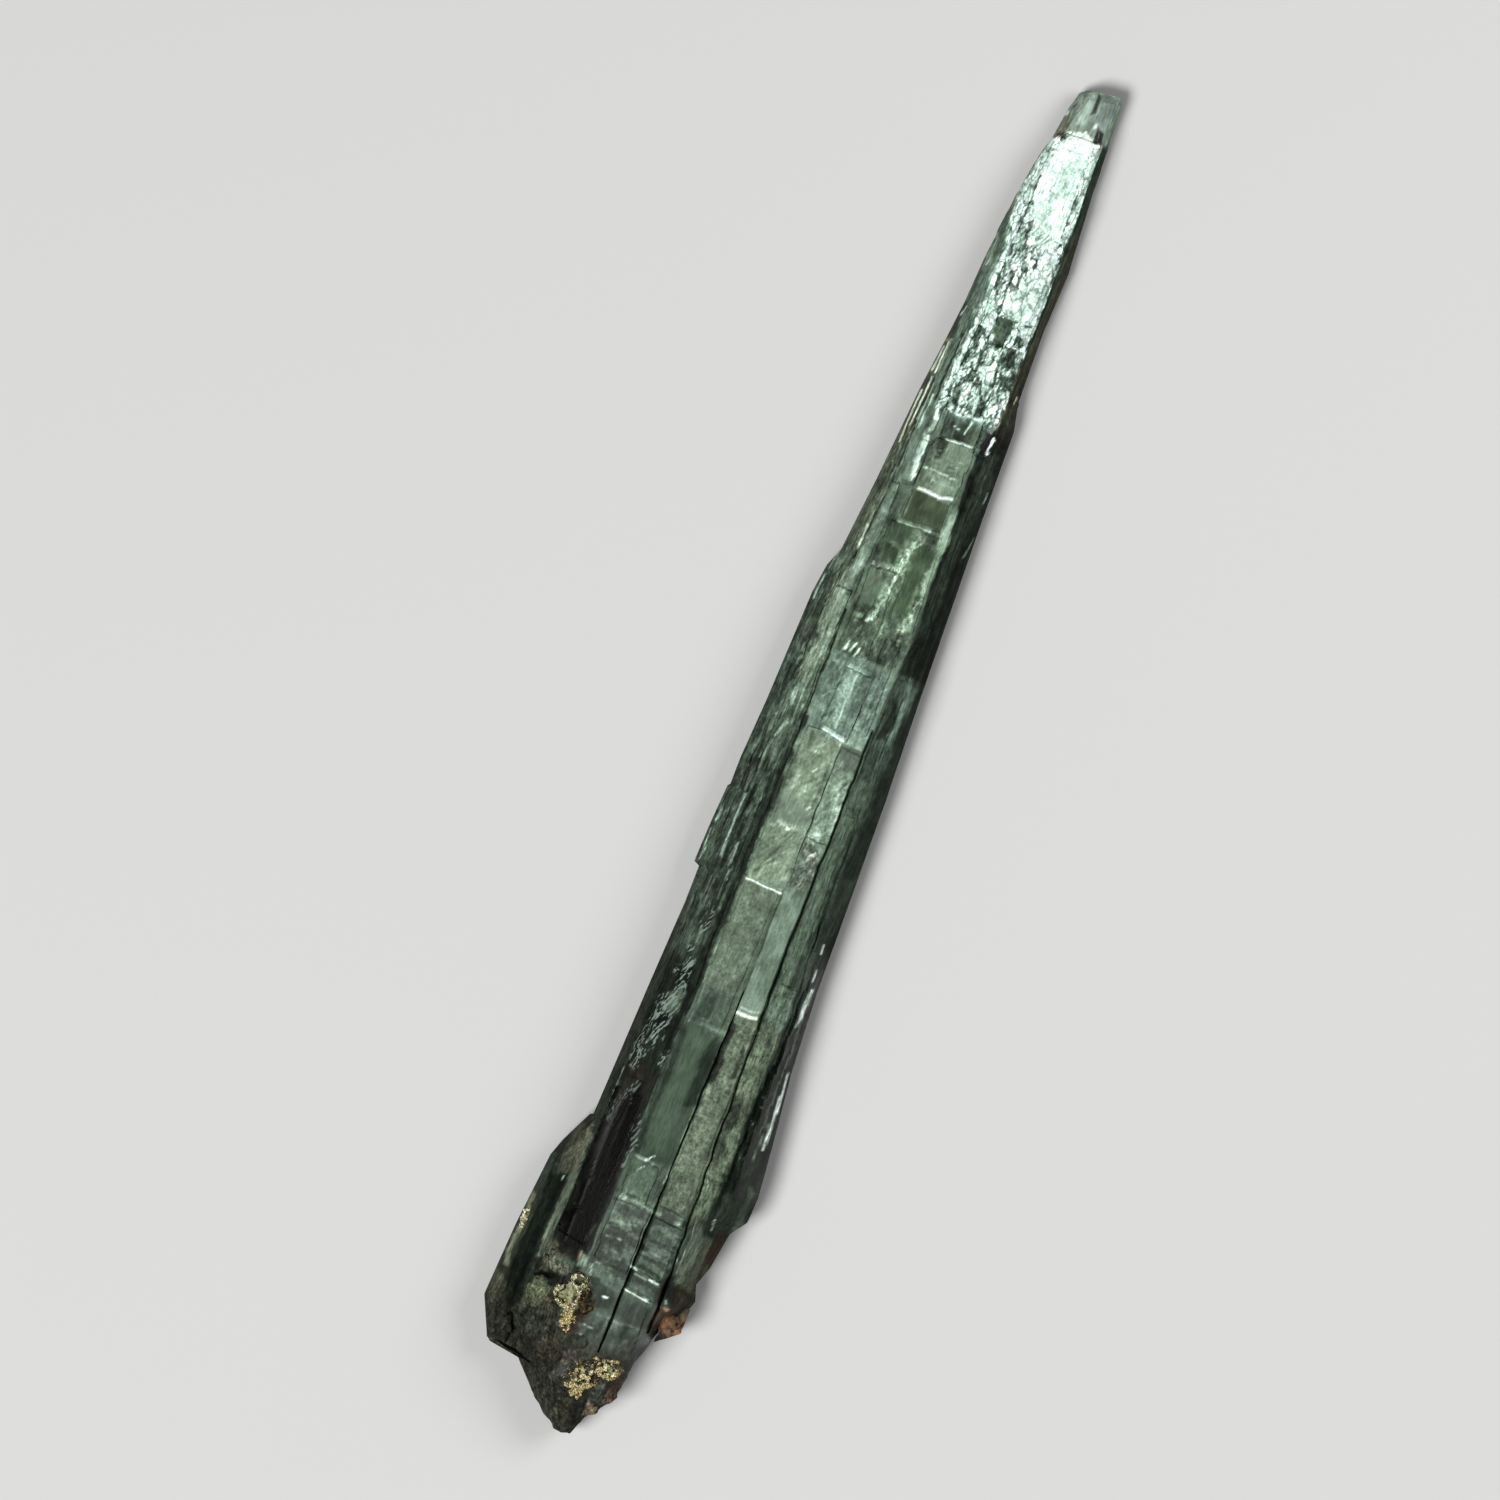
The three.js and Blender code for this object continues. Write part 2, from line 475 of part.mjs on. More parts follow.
function add(name, solid, material) {
  const mesh = new THREE.Mesh(geometryOf(solid), material);
  mesh.name = name;
  specimen.add(mesh);
}
add("vivianite_crystal", host, vivianite);
for (const patch of GOLDEN_PATCHES) add(`golden_crust_${patch.name}`, goldenCrust(host, patch), goldenDruse);
add("rusty_matrix_knob", rustyKnob(host), rustyMatrix);

// The part's origin is on the surface it lies on, under the middle of its outline.
const box = new THREE.Box3().setFromObject(specimen);
const middle = box.getCenter(new THREE.Vector3());
specimen.position.set(-middle.x, -middle.y, -box.min.z);

export default specimen;
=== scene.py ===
import math

import bmesh
import bpy
import numpy as np
from mathutils import Euler, Matrix, Vector
from mathutils.bvhtree import BVHTree


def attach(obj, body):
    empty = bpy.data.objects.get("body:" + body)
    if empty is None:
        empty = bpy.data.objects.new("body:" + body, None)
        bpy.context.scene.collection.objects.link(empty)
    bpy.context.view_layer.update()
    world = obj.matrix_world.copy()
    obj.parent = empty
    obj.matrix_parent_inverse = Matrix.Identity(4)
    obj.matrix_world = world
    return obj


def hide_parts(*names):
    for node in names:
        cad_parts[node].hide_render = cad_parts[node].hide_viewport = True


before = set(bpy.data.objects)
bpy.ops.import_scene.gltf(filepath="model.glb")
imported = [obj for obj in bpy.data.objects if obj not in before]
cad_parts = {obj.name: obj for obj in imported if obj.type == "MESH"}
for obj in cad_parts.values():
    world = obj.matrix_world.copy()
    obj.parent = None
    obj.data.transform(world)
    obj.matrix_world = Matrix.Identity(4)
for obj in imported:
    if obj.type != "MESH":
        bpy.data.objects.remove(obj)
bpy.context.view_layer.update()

# ==== The vivianite crystal =====================================================================
# One natural crystal of vivianite, 140 mm long, grown as a flattened, tapering blade with a smaller
# blade beside its foot. Its sheets step up along the faces, its foot is broken off, and near the tip
# the outer sheets are split and silvery.
MM = 0.001  # places are in millimetres: x across the blade, y from foot to tip, z out of the front
FOOT = Vector((1.175, -70.0, 0.0))  # the foot's place in the frame
LENGTH = 140.0  # foot to tip

# The lines the growth follows, as [y, x]: the two long ridges and the open crack between them.
LEFT_RIDGE = [[0, -0.2], [5, -2.8], [10, -3.8], [30, -3.55], [58, -3.5], [75, -4], [92, -3.7], [104, -3.15],
              [116, -2.9], [128, -2.6], [134, -1.9], [140, -0.4]]
MIDDLE_CRACK = [[0, 0.2], [8, 0.55], [30, 0.5], [46, 0.62], [72, 0.55], [95, 0.3], [140, 0.6]]
RIGHT_RIDGE = [[0, 0.6], [6, 2.9], [12, 4.35], [19.5, 4.2], [29, 3.75], [39, 3.35], [50, 2.98], [74, 2.72],
               [84, 3], [92, 2.4], [102, 2], [106, 2.9], [116, 2.6], [128, 2.3], [140, 1.9]]
GUIDES = [LEFT_RIDGE, MIDDLE_CRACK, RIGHT_RIDGE]
COLUMNS = [46, 32, 22, 26]  # mesh columns in the four strips that those lines leave
NARROWEST_STRIP = 0.04  # of the blade's width
BACK_COLUMNS = 9
SHARP_ANGLE = 16  # degrees; faces that meet more steeply have a sharp edge

# Growth ledges cross the front at these y. The mesh's rows run across at the ledges' slant, as rise in
# y for each mm of x, and each ledge falls between two close rows, so that its edge is sharp.
LEDGES = [15.3, 17.6, 23.2, 27.2, 41.6, 44, 56.4, 62.4, 72.1, 78.9, 80, 84, 89.2, 93.9, 97.5, 102.9, 105.6,
          112.9, 116.2, 134.6]
LEDGE_SLANT = [[0, -0.14], [30, -0.1], [45, 0.04], [58, -0.03], [72, -0.12], [90, 0.06], [140, 0.07]]
ROW_STEP = [[0, 0.19], [26, 0.2], [52, 0.22], [60, 0.25], [94, 0.25], [102, 0.17], [140, 0.16]]
ROW_GAP = 0.03  # from a ledge, or from an end of the crystal, to the nearest row
SEARCH_FROM, SEARCH_TO, SEARCH_STEP = -13, 11, 0.2  # along a row, when its ends are looked for
HALVINGS = 7  # of the last step, to come close to an end
SHORTEST_ROW = 0.3
EDGE_INSET = 0.004  # the rows stop this far inside the solid's outline
ABOVE, BELOW = 40, -20  # plumb lines start well above or below the crystal


def along(line, y):
    """The value of a [y, value] line at y."""
    line = np.asarray(line, float)
    return np.interp(y, line[:, 0], line[:, 1])


def cloud(x, y, seed):
    """A smooth random field from -1 to 1 with features one unit across."""
    lattice = np.random.default_rng(seed).uniform(-1, 1, (256, 256))
    x0, y0 = np.floor(x).astype(int), np.floor(y).astype(int)
    u, v = x - x0, y - y0
    u, v = u * u * (3 - 2 * u), v * v * (3 - 2 * v)

    def at(i, j):
        return lattice[(y0 + j) & 255, (x0 + i) & 255]

    return (at(0, 0) * (1 - u) + at(1, 0) * u) * (1 - v) + (at(0, 1) * (1 - u) + at(1, 1) * u) * v


def rough(x, y, seed, octaves=3):
    """Several clouds on top of each other, each half the size and strength of the last."""
    return sum(cloud(x * 2**i, y * 2**i, seed + i) / 2**i for i in range(octaves)) / 1.5


def rise(v, low, high):
    """0 below low, 1 above high, smooth between."""
    t = np.clip((v - low) / (high - low), 0, 1)
    return t * t * (3 - 2 * t)


def strongest(*fields):
    """The largest of several fields at each place."""
    return np.maximum.reduce(fields)


def search_tree(node_name):
    """One of the solids in this script's millimetres, ready for plumb lines."""
    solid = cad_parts[node_name].data
    solid_corners = [v.co / MM - FOOT for v in solid.vertices]
    return BVHTree.FromPolygons(solid_corners, [tuple(p.vertices) for p in solid.polygons])


def in_frame(points):
    """Points in this script's millimetres as points of the frame, in metres."""
    return [(Vector(point) + FOOT) * MM for point in points]


def add(name, data):
    """Puts a mesh, a lamp or a camera into the scene."""
    made = bpy.data.objects.new(name, data)
    bpy.context.scene.collection.objects.link(made)
    return made


crystal_solid = search_tree("vivianite_crystal")


def height(x, y, upward=False):
    """Where a plumb line at x, y meets the solid: its upper side, or its back."""
    start = Vector((x, y, BELOW if upward else ABOVE))
    way = Vector((0, 0, 1 if upward else -1))
    hit = crystal_solid.ray_cast(start, way)[0]
    return None if hit is None else hit.z


def outline(y, slant):
    """The solid's left and right limits along one slanted row, or nothing where it has none."""
    def solid_at(x):
        return height(x, y + slant * x) is not None

    spots = [x for x in np.arange(SEARCH_FROM, SEARCH_TO, SEARCH_STEP) if solid_at(x)]
    limits = []
    for spot, step in ((spots[0], -SEARCH_STEP), (spots[-1], SEARCH_STEP)) if spots else ():
        inside, outside = spot, spot + step
        for _ in range(HALVINGS):
            middle = (inside + outside) / 2
            inside, outside = (middle, outside) if solid_at(middle) else (inside, middle)
        limits.append(inside)
    return limits


row_y = [ROW_GAP]
while row_y[-1] < LENGTH - 0.2:
    row_y.append(row_y[-1] + float(along(ROW_STEP, row_y[-1])))
row_y = np.array(row_y)
for ledge in LEDGES:
    nearest = int(np.argmin(abs(row_y - ledge)))
    row_y[nearest], row_y[nearest + 1] = ledge - ROW_GAP, ledge + ROW_GAP
row_y[-1] = LENGTH - ROW_GAP

rows = []
for y in row_y:
    slant = float(along(LEDGE_SLANT, y))
    limits = outline(y, slant)
    if len(limits) == 2 and limits[1] - limits[0] > SHORTEST_ROW:
        rows.append((y, slant, limits[0] + EDGE_INSET, limits[1] - EDGE_INSET))
row_count = len(rows)
row_y, row_slant, row_left, row_right = (np.array(v) for v in zip(*rows))

guides = [along(guide, row_y) for guide in GUIDES]
least = NARROWEST_STRIP * (row_right - row_left)
bounds = [row_left]
for i, guide in enumerate(guides):
    bounds.append(np.clip(guide, bounds[-1] + least, row_right - (len(guides) - i) * least))
bounds.append(row_right)
x_parts = [bounds[0][:, None]]
for (left, right), count in zip(zip(bounds, bounds[1:]), COLUMNS):
    share = np.arange(1, count + 1) / count
    x_parts.append(left[:, None] + (right - left)[:, None] * share)
X = np.hstack(x_parts)
Y = row_y[:, None] + row_slant[:, None] * X
column_count = X.shape[1]
columns = np.arange(column_count)
flow = columns[None, :] + np.zeros_like(Y)  # runs with the growth lines


def heights(x, y, upward=False):
    """Plumbs a whole grid. A place where the line misses takes its height from its neighbours."""
    found = np.array([[height(a, b, upward) for a, b in zip(*line)] for line in zip(x, y)], float)
    for line in found:
        missed = np.isnan(line)
        line[missed] = np.interp(np.flatnonzero(missed), np.flatnonzero(~missed), line[~missed])
    return found


Z = heights(X, Y)
back_columns = np.linspace(0, column_count - 1, BACK_COLUMNS).round().astype(int)
back_x, back_y = X[:, back_columns], Y[:, back_columns].copy()
back_z = heights(back_x, back_y, upward=True)

# Ledges and ridges wander a little, so the mesh is shifted along the face. The outline and the flat
# window at the lower left stay still. The tip's end is rounded off.
row = row_y[:, None] + np.zeros_like(Y)  # a place's distance from the foot before the shift
inner = rise(np.minimum(X - row_left[:, None], row_right[:, None] - X), 0.25, 1.2)
inner *= rise(Y, 1, 3) * (1 - rise(Y, 136, 138))
inner *= 1 - 0.9 * rise(guides[0][:, None] - X, 0.1, 0.7) * rise(Y, 14, 17) * (1 - rise(Y, 33, 37))
shift_x = inner * (0.09 * cloud(X / 2, Y / 1.3, 8) + 0.03 * cloud(X / 0.5, Y / 0.5, 9))
shift_y = inner * (0.12 * cloud(X / 1.5, Y / 4, 5) + 0.06 * cloud(X / 0.45, Y / 1.6, 6))
X, Y = X + shift_x, Y + shift_y
TIP_DROP = [[-2.4, 0], [-1.6, 0.15], [-1.1, 0.45], [0.1, 0.45], [0.9, 0.15], [1.6, 0]]
Y -= along(TIP_DROP, X) * rise(Y, 136, 139.6)
back_y -= along(TIP_DROP, back_x) * rise(back_y, 136, 139.6)

# -- marks on the face: blots with ragged outlines, and lines --
FAR = 9.0  # the distance given to places that a mark doesn't reach
tear_x = 0.6 * cloud(X / 0.9, Y / 1.3, 3) + 0.4 * cloud(X / 0.3, Y / 0.45, 4)
tear_y = 0.6 * cloud(X / 0.9, Y / 1.3, 33) + 0.4 * cloud(X / 0.3, Y / 0.45, 34)


def measure(points, ragged, closed):
    """Distance from every place on the face to a line through the points, and whether it lies inside."""
    ring = points + points[:1] if closed else points
    away, within = np.full_like(X, FAR), np.zeros(X.shape, bool)
    low, high = min(y for _, y in points) - 2, max(y for _, y in points) + 2
    part = slice(*np.searchsorted(row_y, [low, high]))
    x, y = X[part] + ragged * tear_x[part], Y[part] + ragged * tear_y[part]
    for (x0, y0), (x1, y1) in zip(ring, ring[1:]):
        way_x, way_y = x1 - x0, y1 - y0
        share = np.clip(((x - x0) * way_x + (y - y0) * way_y) / (way_x**2 + way_y**2), 0, 1)
        away[part] = np.minimum(away[part], np.hypot(x - x0 - share * way_x, y - y0 - share * way_y))
        if closed and y0 != y1:
            within[part] ^= ((y0 > y) != (y1 > y)) & (x < way_x * (y - y0) / way_y + x0)
    return away, within


def blot(points, soft=0.12, ragged=0.2):
    """1 inside an outline, 0 outside, soft and ragged at its edge."""
    away, within = measure(points, ragged, closed=True)
    return rise(np.where(within, away, -away), -soft, soft)


def block(left, right, low, high, soft=0.2, ragged=0.3):
    """A blot with four corners. Its lower end slants, and so does its upper one."""
    lower = [[left, low - 1.5 * soft], [right, low + soft]]
    upper = [[right, high - 2 * soft], [left, high + 1.5 * soft]]
    return blot(lower + upper, soft, ragged)


def blocks(places):
    """The strongest of several blocks, each with its strength in front."""
    return strongest(*[strength * block(*place) for strength, *place in places])


def line(points, width, soft=0.06, ragged=0.06):
    """1 along a line through the points, 0 off it."""
    away, _ = measure(points, ragged, closed=False)
    return 1 - rise(away, width / 2 - soft, width / 2 + soft)


left_count, right_count = COLUMNS[0], column_count - 1 - COLUMNS[3]
on_left = 1 - rise(columns, left_count - 1.5, left_count + 0.5)[None, :] + np.zeros_like(X)
on_right = rise(columns, right_count - 0.5, right_count + 1.5)[None, :] + np.zeros_like(X)
on_front = (1 - on_left) * (1 - on_right)
on_sides = 1 - on_front
left_ridge_x, crack_x, right_ridge_x = (along(guide, row) for guide in GUIDES)

# -- zones: silvery sheets, clear windows, the broken foot --
silver = rise(Y + 0.8 * tear_x, 104.8, 106.0)
silver *= 1 - rise(Y + 0.4 * tear_x + 0.55 * np.abs(X - 0.2), 135.6, 136.0)
silver *= rise(X + 0.2 * tear_x + 0.6 * rise(Y, 122, 127), left_ridge_x - 0.5, left_ridge_x + 0.1)
silver *= 1 - rise(X + 0.1 * tear_x, right_ridge_x, right_ridge_x + 0.25)
broken = 1 - rise(Y + 0.9 * tear_x - 0.25 * np.abs(X + 1.5), 6.5, 10.0)
broken = np.maximum(broken, block(-8.2, -1.8, -1, 15.4, 0.5, 0.9))
LEFT_WINDOW = [[-7.2, 17], [-7.4, 23], [-7.1, 29], [-7, 33.4], [-6.2, 32.6], [-4.8, 35.4], [-4.2, 30],
               [-3.95, 26], [-4.2, 20.4], [-4, 17], [-5, 16.2]]
GREEN_WINDOW = [[-1.1, 114.2], [-0.5, 113.6], [-0.1, 112.6], [0.15, 112.6], [0.6, 113.8], [0.7, 115.6],
                [0.3, 115.9], [-0.5, 116], [-1.1, 115.8], [-1, 115]]
SMALL_WINDOW = [[1.35, 114], [1.4, 114.8], [2.05, 114.7], [2.1, 113.9]]
left_window = blot(LEFT_WINDOW, 0.75, 0.5)
windows = np.maximum(blot(GREEN_WINDOW, 0.1, 0.2), blot(SMALL_WINDOW, 0.08, 0.06))
smooth_front = block(-3.2, 0.4, 27.6, 41.2, 0.4, 0.3)
glassy = strongest(0.8 * left_window, windows, 0.8 * smooth_front, 0.6 * on_right * rise(X, 5.3, 6),
                   0.7 * block(-2.3, 1.5, 94.1, 97.2, 0.1, 0.1))

# split silvery sheets, by their outlines, which get a painted near-white sheen, and the pale frame of the
# small window
WHITE_SHEETS = [
    [[-2.1, 131.6], [-1.9, 133], [-1.2, 134.2], [-0.8, 135.2], [0.2, 135.7], [1, 135.3], [1.45, 134.4],
     [1.6, 130], [1.75, 124.4], [0.5, 123.4], [-1, 124.6], [-1.3, 126], [-2, 127.5], [-2.3, 129.5]],
    [[1.7, 130.4], [1.55, 134.3], [2.35, 134.5], [2.45, 132], [2.25, 130.3]],
    [[2.05, 124.6], [2, 130], [2.25, 130], [2.45, 124.6]],
    [[-3.05, 127.5], [-3.1, 131.5], [-2.6, 133.9], [-1.95, 133.8], [-2.15, 131.4], [-2.4, 127]],
    [[-3.4, 124.6], [-3.3, 129], [-2.6, 129.2], [-2.5, 126.4], [-2.8, 124.4]],
    [[-2.3, 122.6], [-2.1, 124.6], [-1.6, 124.5], [-1.5, 122.8]],
    [[-0.75, 135.2], [-0.5, 135.7], [0, 135.8], [0.25, 135.3]],
    [[-1.1, 117.6], [-0.2, 118.6], [0.4, 120.6], [1, 123.4], [2.2, 123.6], [2.6, 119], [2.5, 116.1],
     [0.7, 115.9], [-0.6, 115.9], [-1, 116.8]],
    [[0.8, 115.7], [2.5, 115.9], [2.6, 114.9], [1.9, 115.2], [0.9, 114.9]],
    [[-2.9, 114.4], [-2.8, 117.2], [-1.6, 117], [-1.3, 115.7], [-1.2, 114.5]],
    [[-1.6, 106.7], [-1.5, 108.6], [-0.9, 108.7], [-0.7, 106.9], [-1.2, 106.5]],
    [[-0.4, 106.7], [-0.3, 108], [0.3, 107.9], [0.4, 106.9]],
    [[-0.9, 109.9], [-0.5, 110.9], [0.6, 111.3], [0.8, 109.2], [0.3, 107.8], [0, 109.4]],
    [[-3.1, 118], [-2.9, 124], [-2.6, 124], [-2.5, 118]],
    [[-3.1, 109.5], [-3, 113.5], [-2.6, 113.5], [-2.6, 109.5]],
]
WINDOW_FRAME = [[1.15, 113.4], [1.2, 115.0], [2.35, 114.9], [2.45, 113.6], [1.15, 113.4]]
window_frame = line(WINDOW_FRAME, 0.3, ragged=0.15)
white = strongest(window_frame, *[blot(sheet, 0.1, 0.22) for sheet in WHITE_SHEETS])
main_sheet = blot(WHITE_SHEETS[0], 0.3, 0.2)

# -- fine relief, in millimetres out of the surface --
relief = np.zeros_like(Z)
TERRACES = [  # seed, width, length, level, thickness: thin sheets with wandering ends
    [101, 1.1, 9, 0.15, 0.035], [103, 0.7, 14, 0.3, 0.03], [105, 1.6, 5, 0.35, 0.04],
    [107, 0.45, 7, 0.2, 0.02], [109, 0.9, 18, -0.2, 0.03],
]
for seed, wide, long, level, thickness in TERRACES:
    terrace = cloud(X / wide, Y / long, seed) + 0.35 * cloud(X / wide * 3, Y / long * 4, seed + 1)
    relief += thickness * rise(terrace, level, level + 0.07)
growth_lines = 0.03 * cloud(flow / 2.6, Y / 26, 11) + 0.018 * cloud(flow / 1.2, Y / 9, 12)
relief += (0.2 + 0.8 * on_sides) * growth_lines
relief *= (1 - 0.9 * glassy) * (0.12 + 0.88 * rise(Y, 22, 30))
relief += 0.03 * (1 - left_window) * cloud(X / 2.5, Y / 7, 14)

# small plates in the silvery sheets, each tipped its own way, with dark seams between them
PLATE_COUNT = 560
PLATE_WIDTH, PLATE_LENGTH, PLATE_LIFT = 0.55, 1.0, 0.03
chance = np.random.default_rng(1912)
plates = chance.uniform([-4, 103], [4, 138], (PLATE_COUNT, 2))
plate_tip = np.tan(np.radians(chance.normal([2.5, 3], [3.0, 3.5], (PLATE_COUNT, 2))))
plate_lift = chance.uniform(-PLATE_LIFT, PLATE_LIFT, PLATE_COUNT)
seam, plate_shade = np.zeros_like(Z), np.zeros_like(Z)
for i in np.flatnonzero(row_y > 102.5):
    wander = 0.16 * cloud(X[i] / 0.4, Y[i] / 0.4, 21)
    across = (X[i, :, None] + wander[:, None] - plates[None, :, 0]) / PLATE_WIDTH
    up = (Y[i, :, None] + 2 * wander[:, None] - plates[None, :, 1]) / PLATE_LENGTH
    far = across**2 + up**2
    order = np.argpartition(far, 1, axis=1)[:, :2]
    near = np.take_along_axis(far, order, 1) ** 0.5
    nearest = np.where(near[:, 0] <= near[:, 1], order[:, 0], order[:, 1])
    seam[i] = 1 - rise(abs(near[:, 0] - near[:, 1]), 0.03, 0.15)
    plate_shade[i] = plate_lift[nearest] / PLATE_LIFT
    plate = plate_lift[nearest] + plate_tip[nearest, 0] * (X[i] - plates[nearest, 0])
    plate += plate_tip[nearest, 1] * (Y[i] - plates[nearest, 1])
    plate -= 0.03 * seam[i]
    relief[i] += silver[i] * (1 - windows[i]) * (1 - 0.6 * main_sheet[i]) * plate
relief += silver * (0.05 * white - 0.09 * windows)

# -- the grain of each stretch --
grain = rough(X / 0.32, Y / 0.38, 68)  # fine and even
blotch = rough(X / 1.1, Y / 1.7, 65)
flakes = rough(X / 0.5, Y / 0.9, 41)
hatch = cloud((X + 0.75 * Y) / 0.9, (Y - 0.75 * X) / 0.3, 45)
hatch = hatch + 0.5 * cloud((X + 0.6 * Y) / 0.5, (Y - 0.6 * X) / 0.2, 46)
hatch_low = hatch * (1 - rise(Y, 72, 76))
furrows = 1 - 2 * np.abs(cloud(X / 0.42 + 0.25 * tear_x, Y / 3.2, 43))
knots = rough(X / 0.3, Y / 2.2, 48)
hackle = rough(X / 1.1, Y / 1.1, 51, 4) + 0.6 * np.abs(cloud(X / 0.5 + Y / 0.8, Y / 1.4, 55))
mint_strip = line([[-4.9, 82.5], [-4.4, 89], [-4.05, 94], [-3.8, 98], [-3.9, 104.5]], 0.7, 0.25, 0.3)
calm = np.maximum(0.5 * mint_strip, blocks([
    [1, 0.0, 1.7, 85.6, 92.2, 0.2, 0.4], [1, -2.8, -1.3, 89.7, 91.5, 0.15, 0.3],
    [1, -3.3, -1.9, 85.2, 88.5, 0.2, 0.3], [1, -3.3, -1.0, 91.9, 93.8, 0.15, 0.3],
    [1, -3.1, 0.3, 62.7, 65.4, 0.3, 0.4], [1, -0.7, 1.6, 97.8, 102.8, 0.2, 0.3],
    [1, -2.5, 1.5, 94.0, 97.4, 0.1, 0.1], [0.6, -3.0, 0.4, 57, 62], [0.5, -2.9, 0.0, 65, 71.5],
]))
granular = blocks([[1, 0.5, 3.1, 24, 43.6], [0.9, 3.3, 5.5, 25, 48.5], [0.4, -3.3, 3.8, 15.5, 24],
                   [0.4, -3.0, 0.3, 45, 56.4]])
flaky = blocks([[1, -3.4, 0.5, 57, 72], [1, 0.6, 2.8, 62.6, 69.4], [0.7, -3.3, 2.6, 72, 80, 0.5],
                [1, -3.5, 2.7, 80, 94, 0.4]])
bark = on_left * rise(Y, 46, 54) * (1 - rise(Y, 88, 104))
bark_ridge = bark * block(-6.9, -4.5, 44, 76, 0.5, 0.5)
relief += 0.03 * granular * grain + 0.03 * flaky * (flakes + 0.6 * hatch_low)
relief += bark * 0.03 * furrows + bark_ridge * (0.03 * furrows + 0.03 * knots)
relief += 0.24 * broken * hackle  # the hackly break at the foot
relief -= 0.2 * np.exp(-((X - crack_x - 0.05 * tear_x) / 0.05) ** 2) * rise(Y, 8, 9) * (1 - rise(Y, 42, 47))

# patches of thin feathery flakes that lie slanting on the left facet
FEATHERS = [
    [[-7.1, 35.2], [-6.3, 35.3], [-5.6, 37.3], [-4.9, 38.9], [-5.1, 40.6], [-4.5, 42.4], [-4.7, 43.6],
     [-5.6, 43.9], [-6.7, 42.9], [-6.8, 41.2], [-7.1, 38.6]],
    [[-5.8, 43.6], [-4.6, 43.6], [-4.8, 47.2], [-5.6, 47]],
    [[-6.5, 45.2], [-6, 45.2], [-6, 46], [-6.4, 46]],
    [[-7.2, 29.6], [-6.7, 29.7], [-6.4, 31.6], [-5.2, 34], [-5.6, 34.4], [-6.6, 32.6], [-7.1, 31]],
    [[-5.7, 31.9], [-5.2, 32], [-5.5, 32.8], [-5.8, 32.6]],
    [[-4.6, 29.8], [-4.1, 28.2], [-3.6, 28.4], [-3.8, 30.6], [-4.2, 31.6]],
    [[-4.1, 25.4], [-3.7, 25.6], [-3.7, 28], [-4, 28.2]],
    [[-4.7, 36.6], [-4.1, 36.4], [-4, 38.2], [-4.5, 38]],
    [[-6, 47.6], [-5.1, 47.6], [-4.8, 52], [-5.6, 53]],
    [[-7.6, 31], [-7.35, 31], [-7.25, 33.6], [-7.5, 33.4]],
]
feathers = strongest(*[blot(patch, 0.12, 0.3) for patch in FEATHERS])

# hatching on the front and bark on the sides: bands of short slanting strokes, each given by the x, y
# of its two ends, its half width, and its strokes' number, lean in degrees, length, width and paleness
STROKE_BANDS = [
    [-1.9, 57.4, -1, 61.4, 0.9, 12, 38, 1.8, 0.16, 0.82],
    [-1.8, 57.4, -1.2, 61.4, 0.9, 9, 38, 1.6, 0.16, 0.54],
    [-1.6, 65.6, -1.4, 71.6, 1, 12, 42, 1.2, 0.18, 0.84],
    [-1.6, 65.6, -1.4, 71.6, 1, 10, 42, 1.2, 0.18, 0.58],
    [1.7, 63.4, 1.7, 68.6, 0.6, 12, 40, 0.8, 0.18, 0.86],
    [1.7, 63.4, 1.7, 68.6, 0.6, 10, 40, 0.8, 0.16, 0.46],
    [1.6, 57.4, 1.6, 61.5, 0.55, 22, 20, 0.5, 0.12, 0.85], [1.7, 74, 1.5, 83, 0.6, 30, 15, 0.6, 0.11, 0.84],
    [1.7, 72.8, 1.5, 83, 0.6, 34, 20, 0.7, 0.12, 0.36], [-2.6, 73, -2.6, 83, 0.7, 34, 24, 0.7, 0.12, 0.84],
    [-2.4, 73, -2.4, 83, 0.7, 30, 20, 0.8, 0.13, 0.36],
    [-0.4, 98.2, -0.4, 102.8, 1, 16, 88, 0.9, 0.08, 0.88],
    [-1.4, 120.2, -0.4, 124.6, 1, 46, 24, 0.9, 0.1, 0.35],
    [-0.8, 125.2, -0.4, 129.5, 0.7, 26, 14, 0.9, 0.07, 0.72],
    [-2.2, 118, -2.2, 124, 0.5, 26, 10, 0.8, 0.1, 0.4],
    [1.2, 107, 1.6, 112.4, 0.8, 30, 12, 0.6, 0.13, 0.34],
    [-1.6, 106.4, -1.6, 112.4, 0.9, 34, 20, 0.6, 0.14, 0.36],
    [-0.2, 106.6, 0.2, 112.2, 1.3, 40, 14, 0.5, 0.16, 1.24],
    [-3, 16, -0.6, 16.4, 0.8, 10, 84, 1, 0.1, 0.26], [1.4, 42.5, 4.5, 43, 0.3, 8, 30, 0.4, 0.12, 0.8],
    [-7.9, 56.4, -8, 62, 0.15, 12, 8, 0.5, 0.12, 1], [-7, 56.5, -6.6, 73.5, 0.7, 50, 8, 0.8, 0.11, 0.8],
    [-5.2, 55, -5.2, 74.5, 0.6, 44, 8, 0.8, 0.11, 0.78], [-6.4, 74, -6.2, 88, 0.9, 60, 8, 0.8, 0.12, 0.86],
    [-5.2, 88, -4.8, 104, 0.6, 50, 4, 1, 0.12, 0.84], [6.6, 26, 6, 54, 0.5, 34, 2, 1.8, 0.16, 0.3],
    [7.6, 27, 7, 50, 0.4, 26, 2, 1.6, 0.14, 0.26], [-9.4, 24, -8.5, 28.2, 0.3, 16, 28, 0.9, 0.11, 0.8],
]
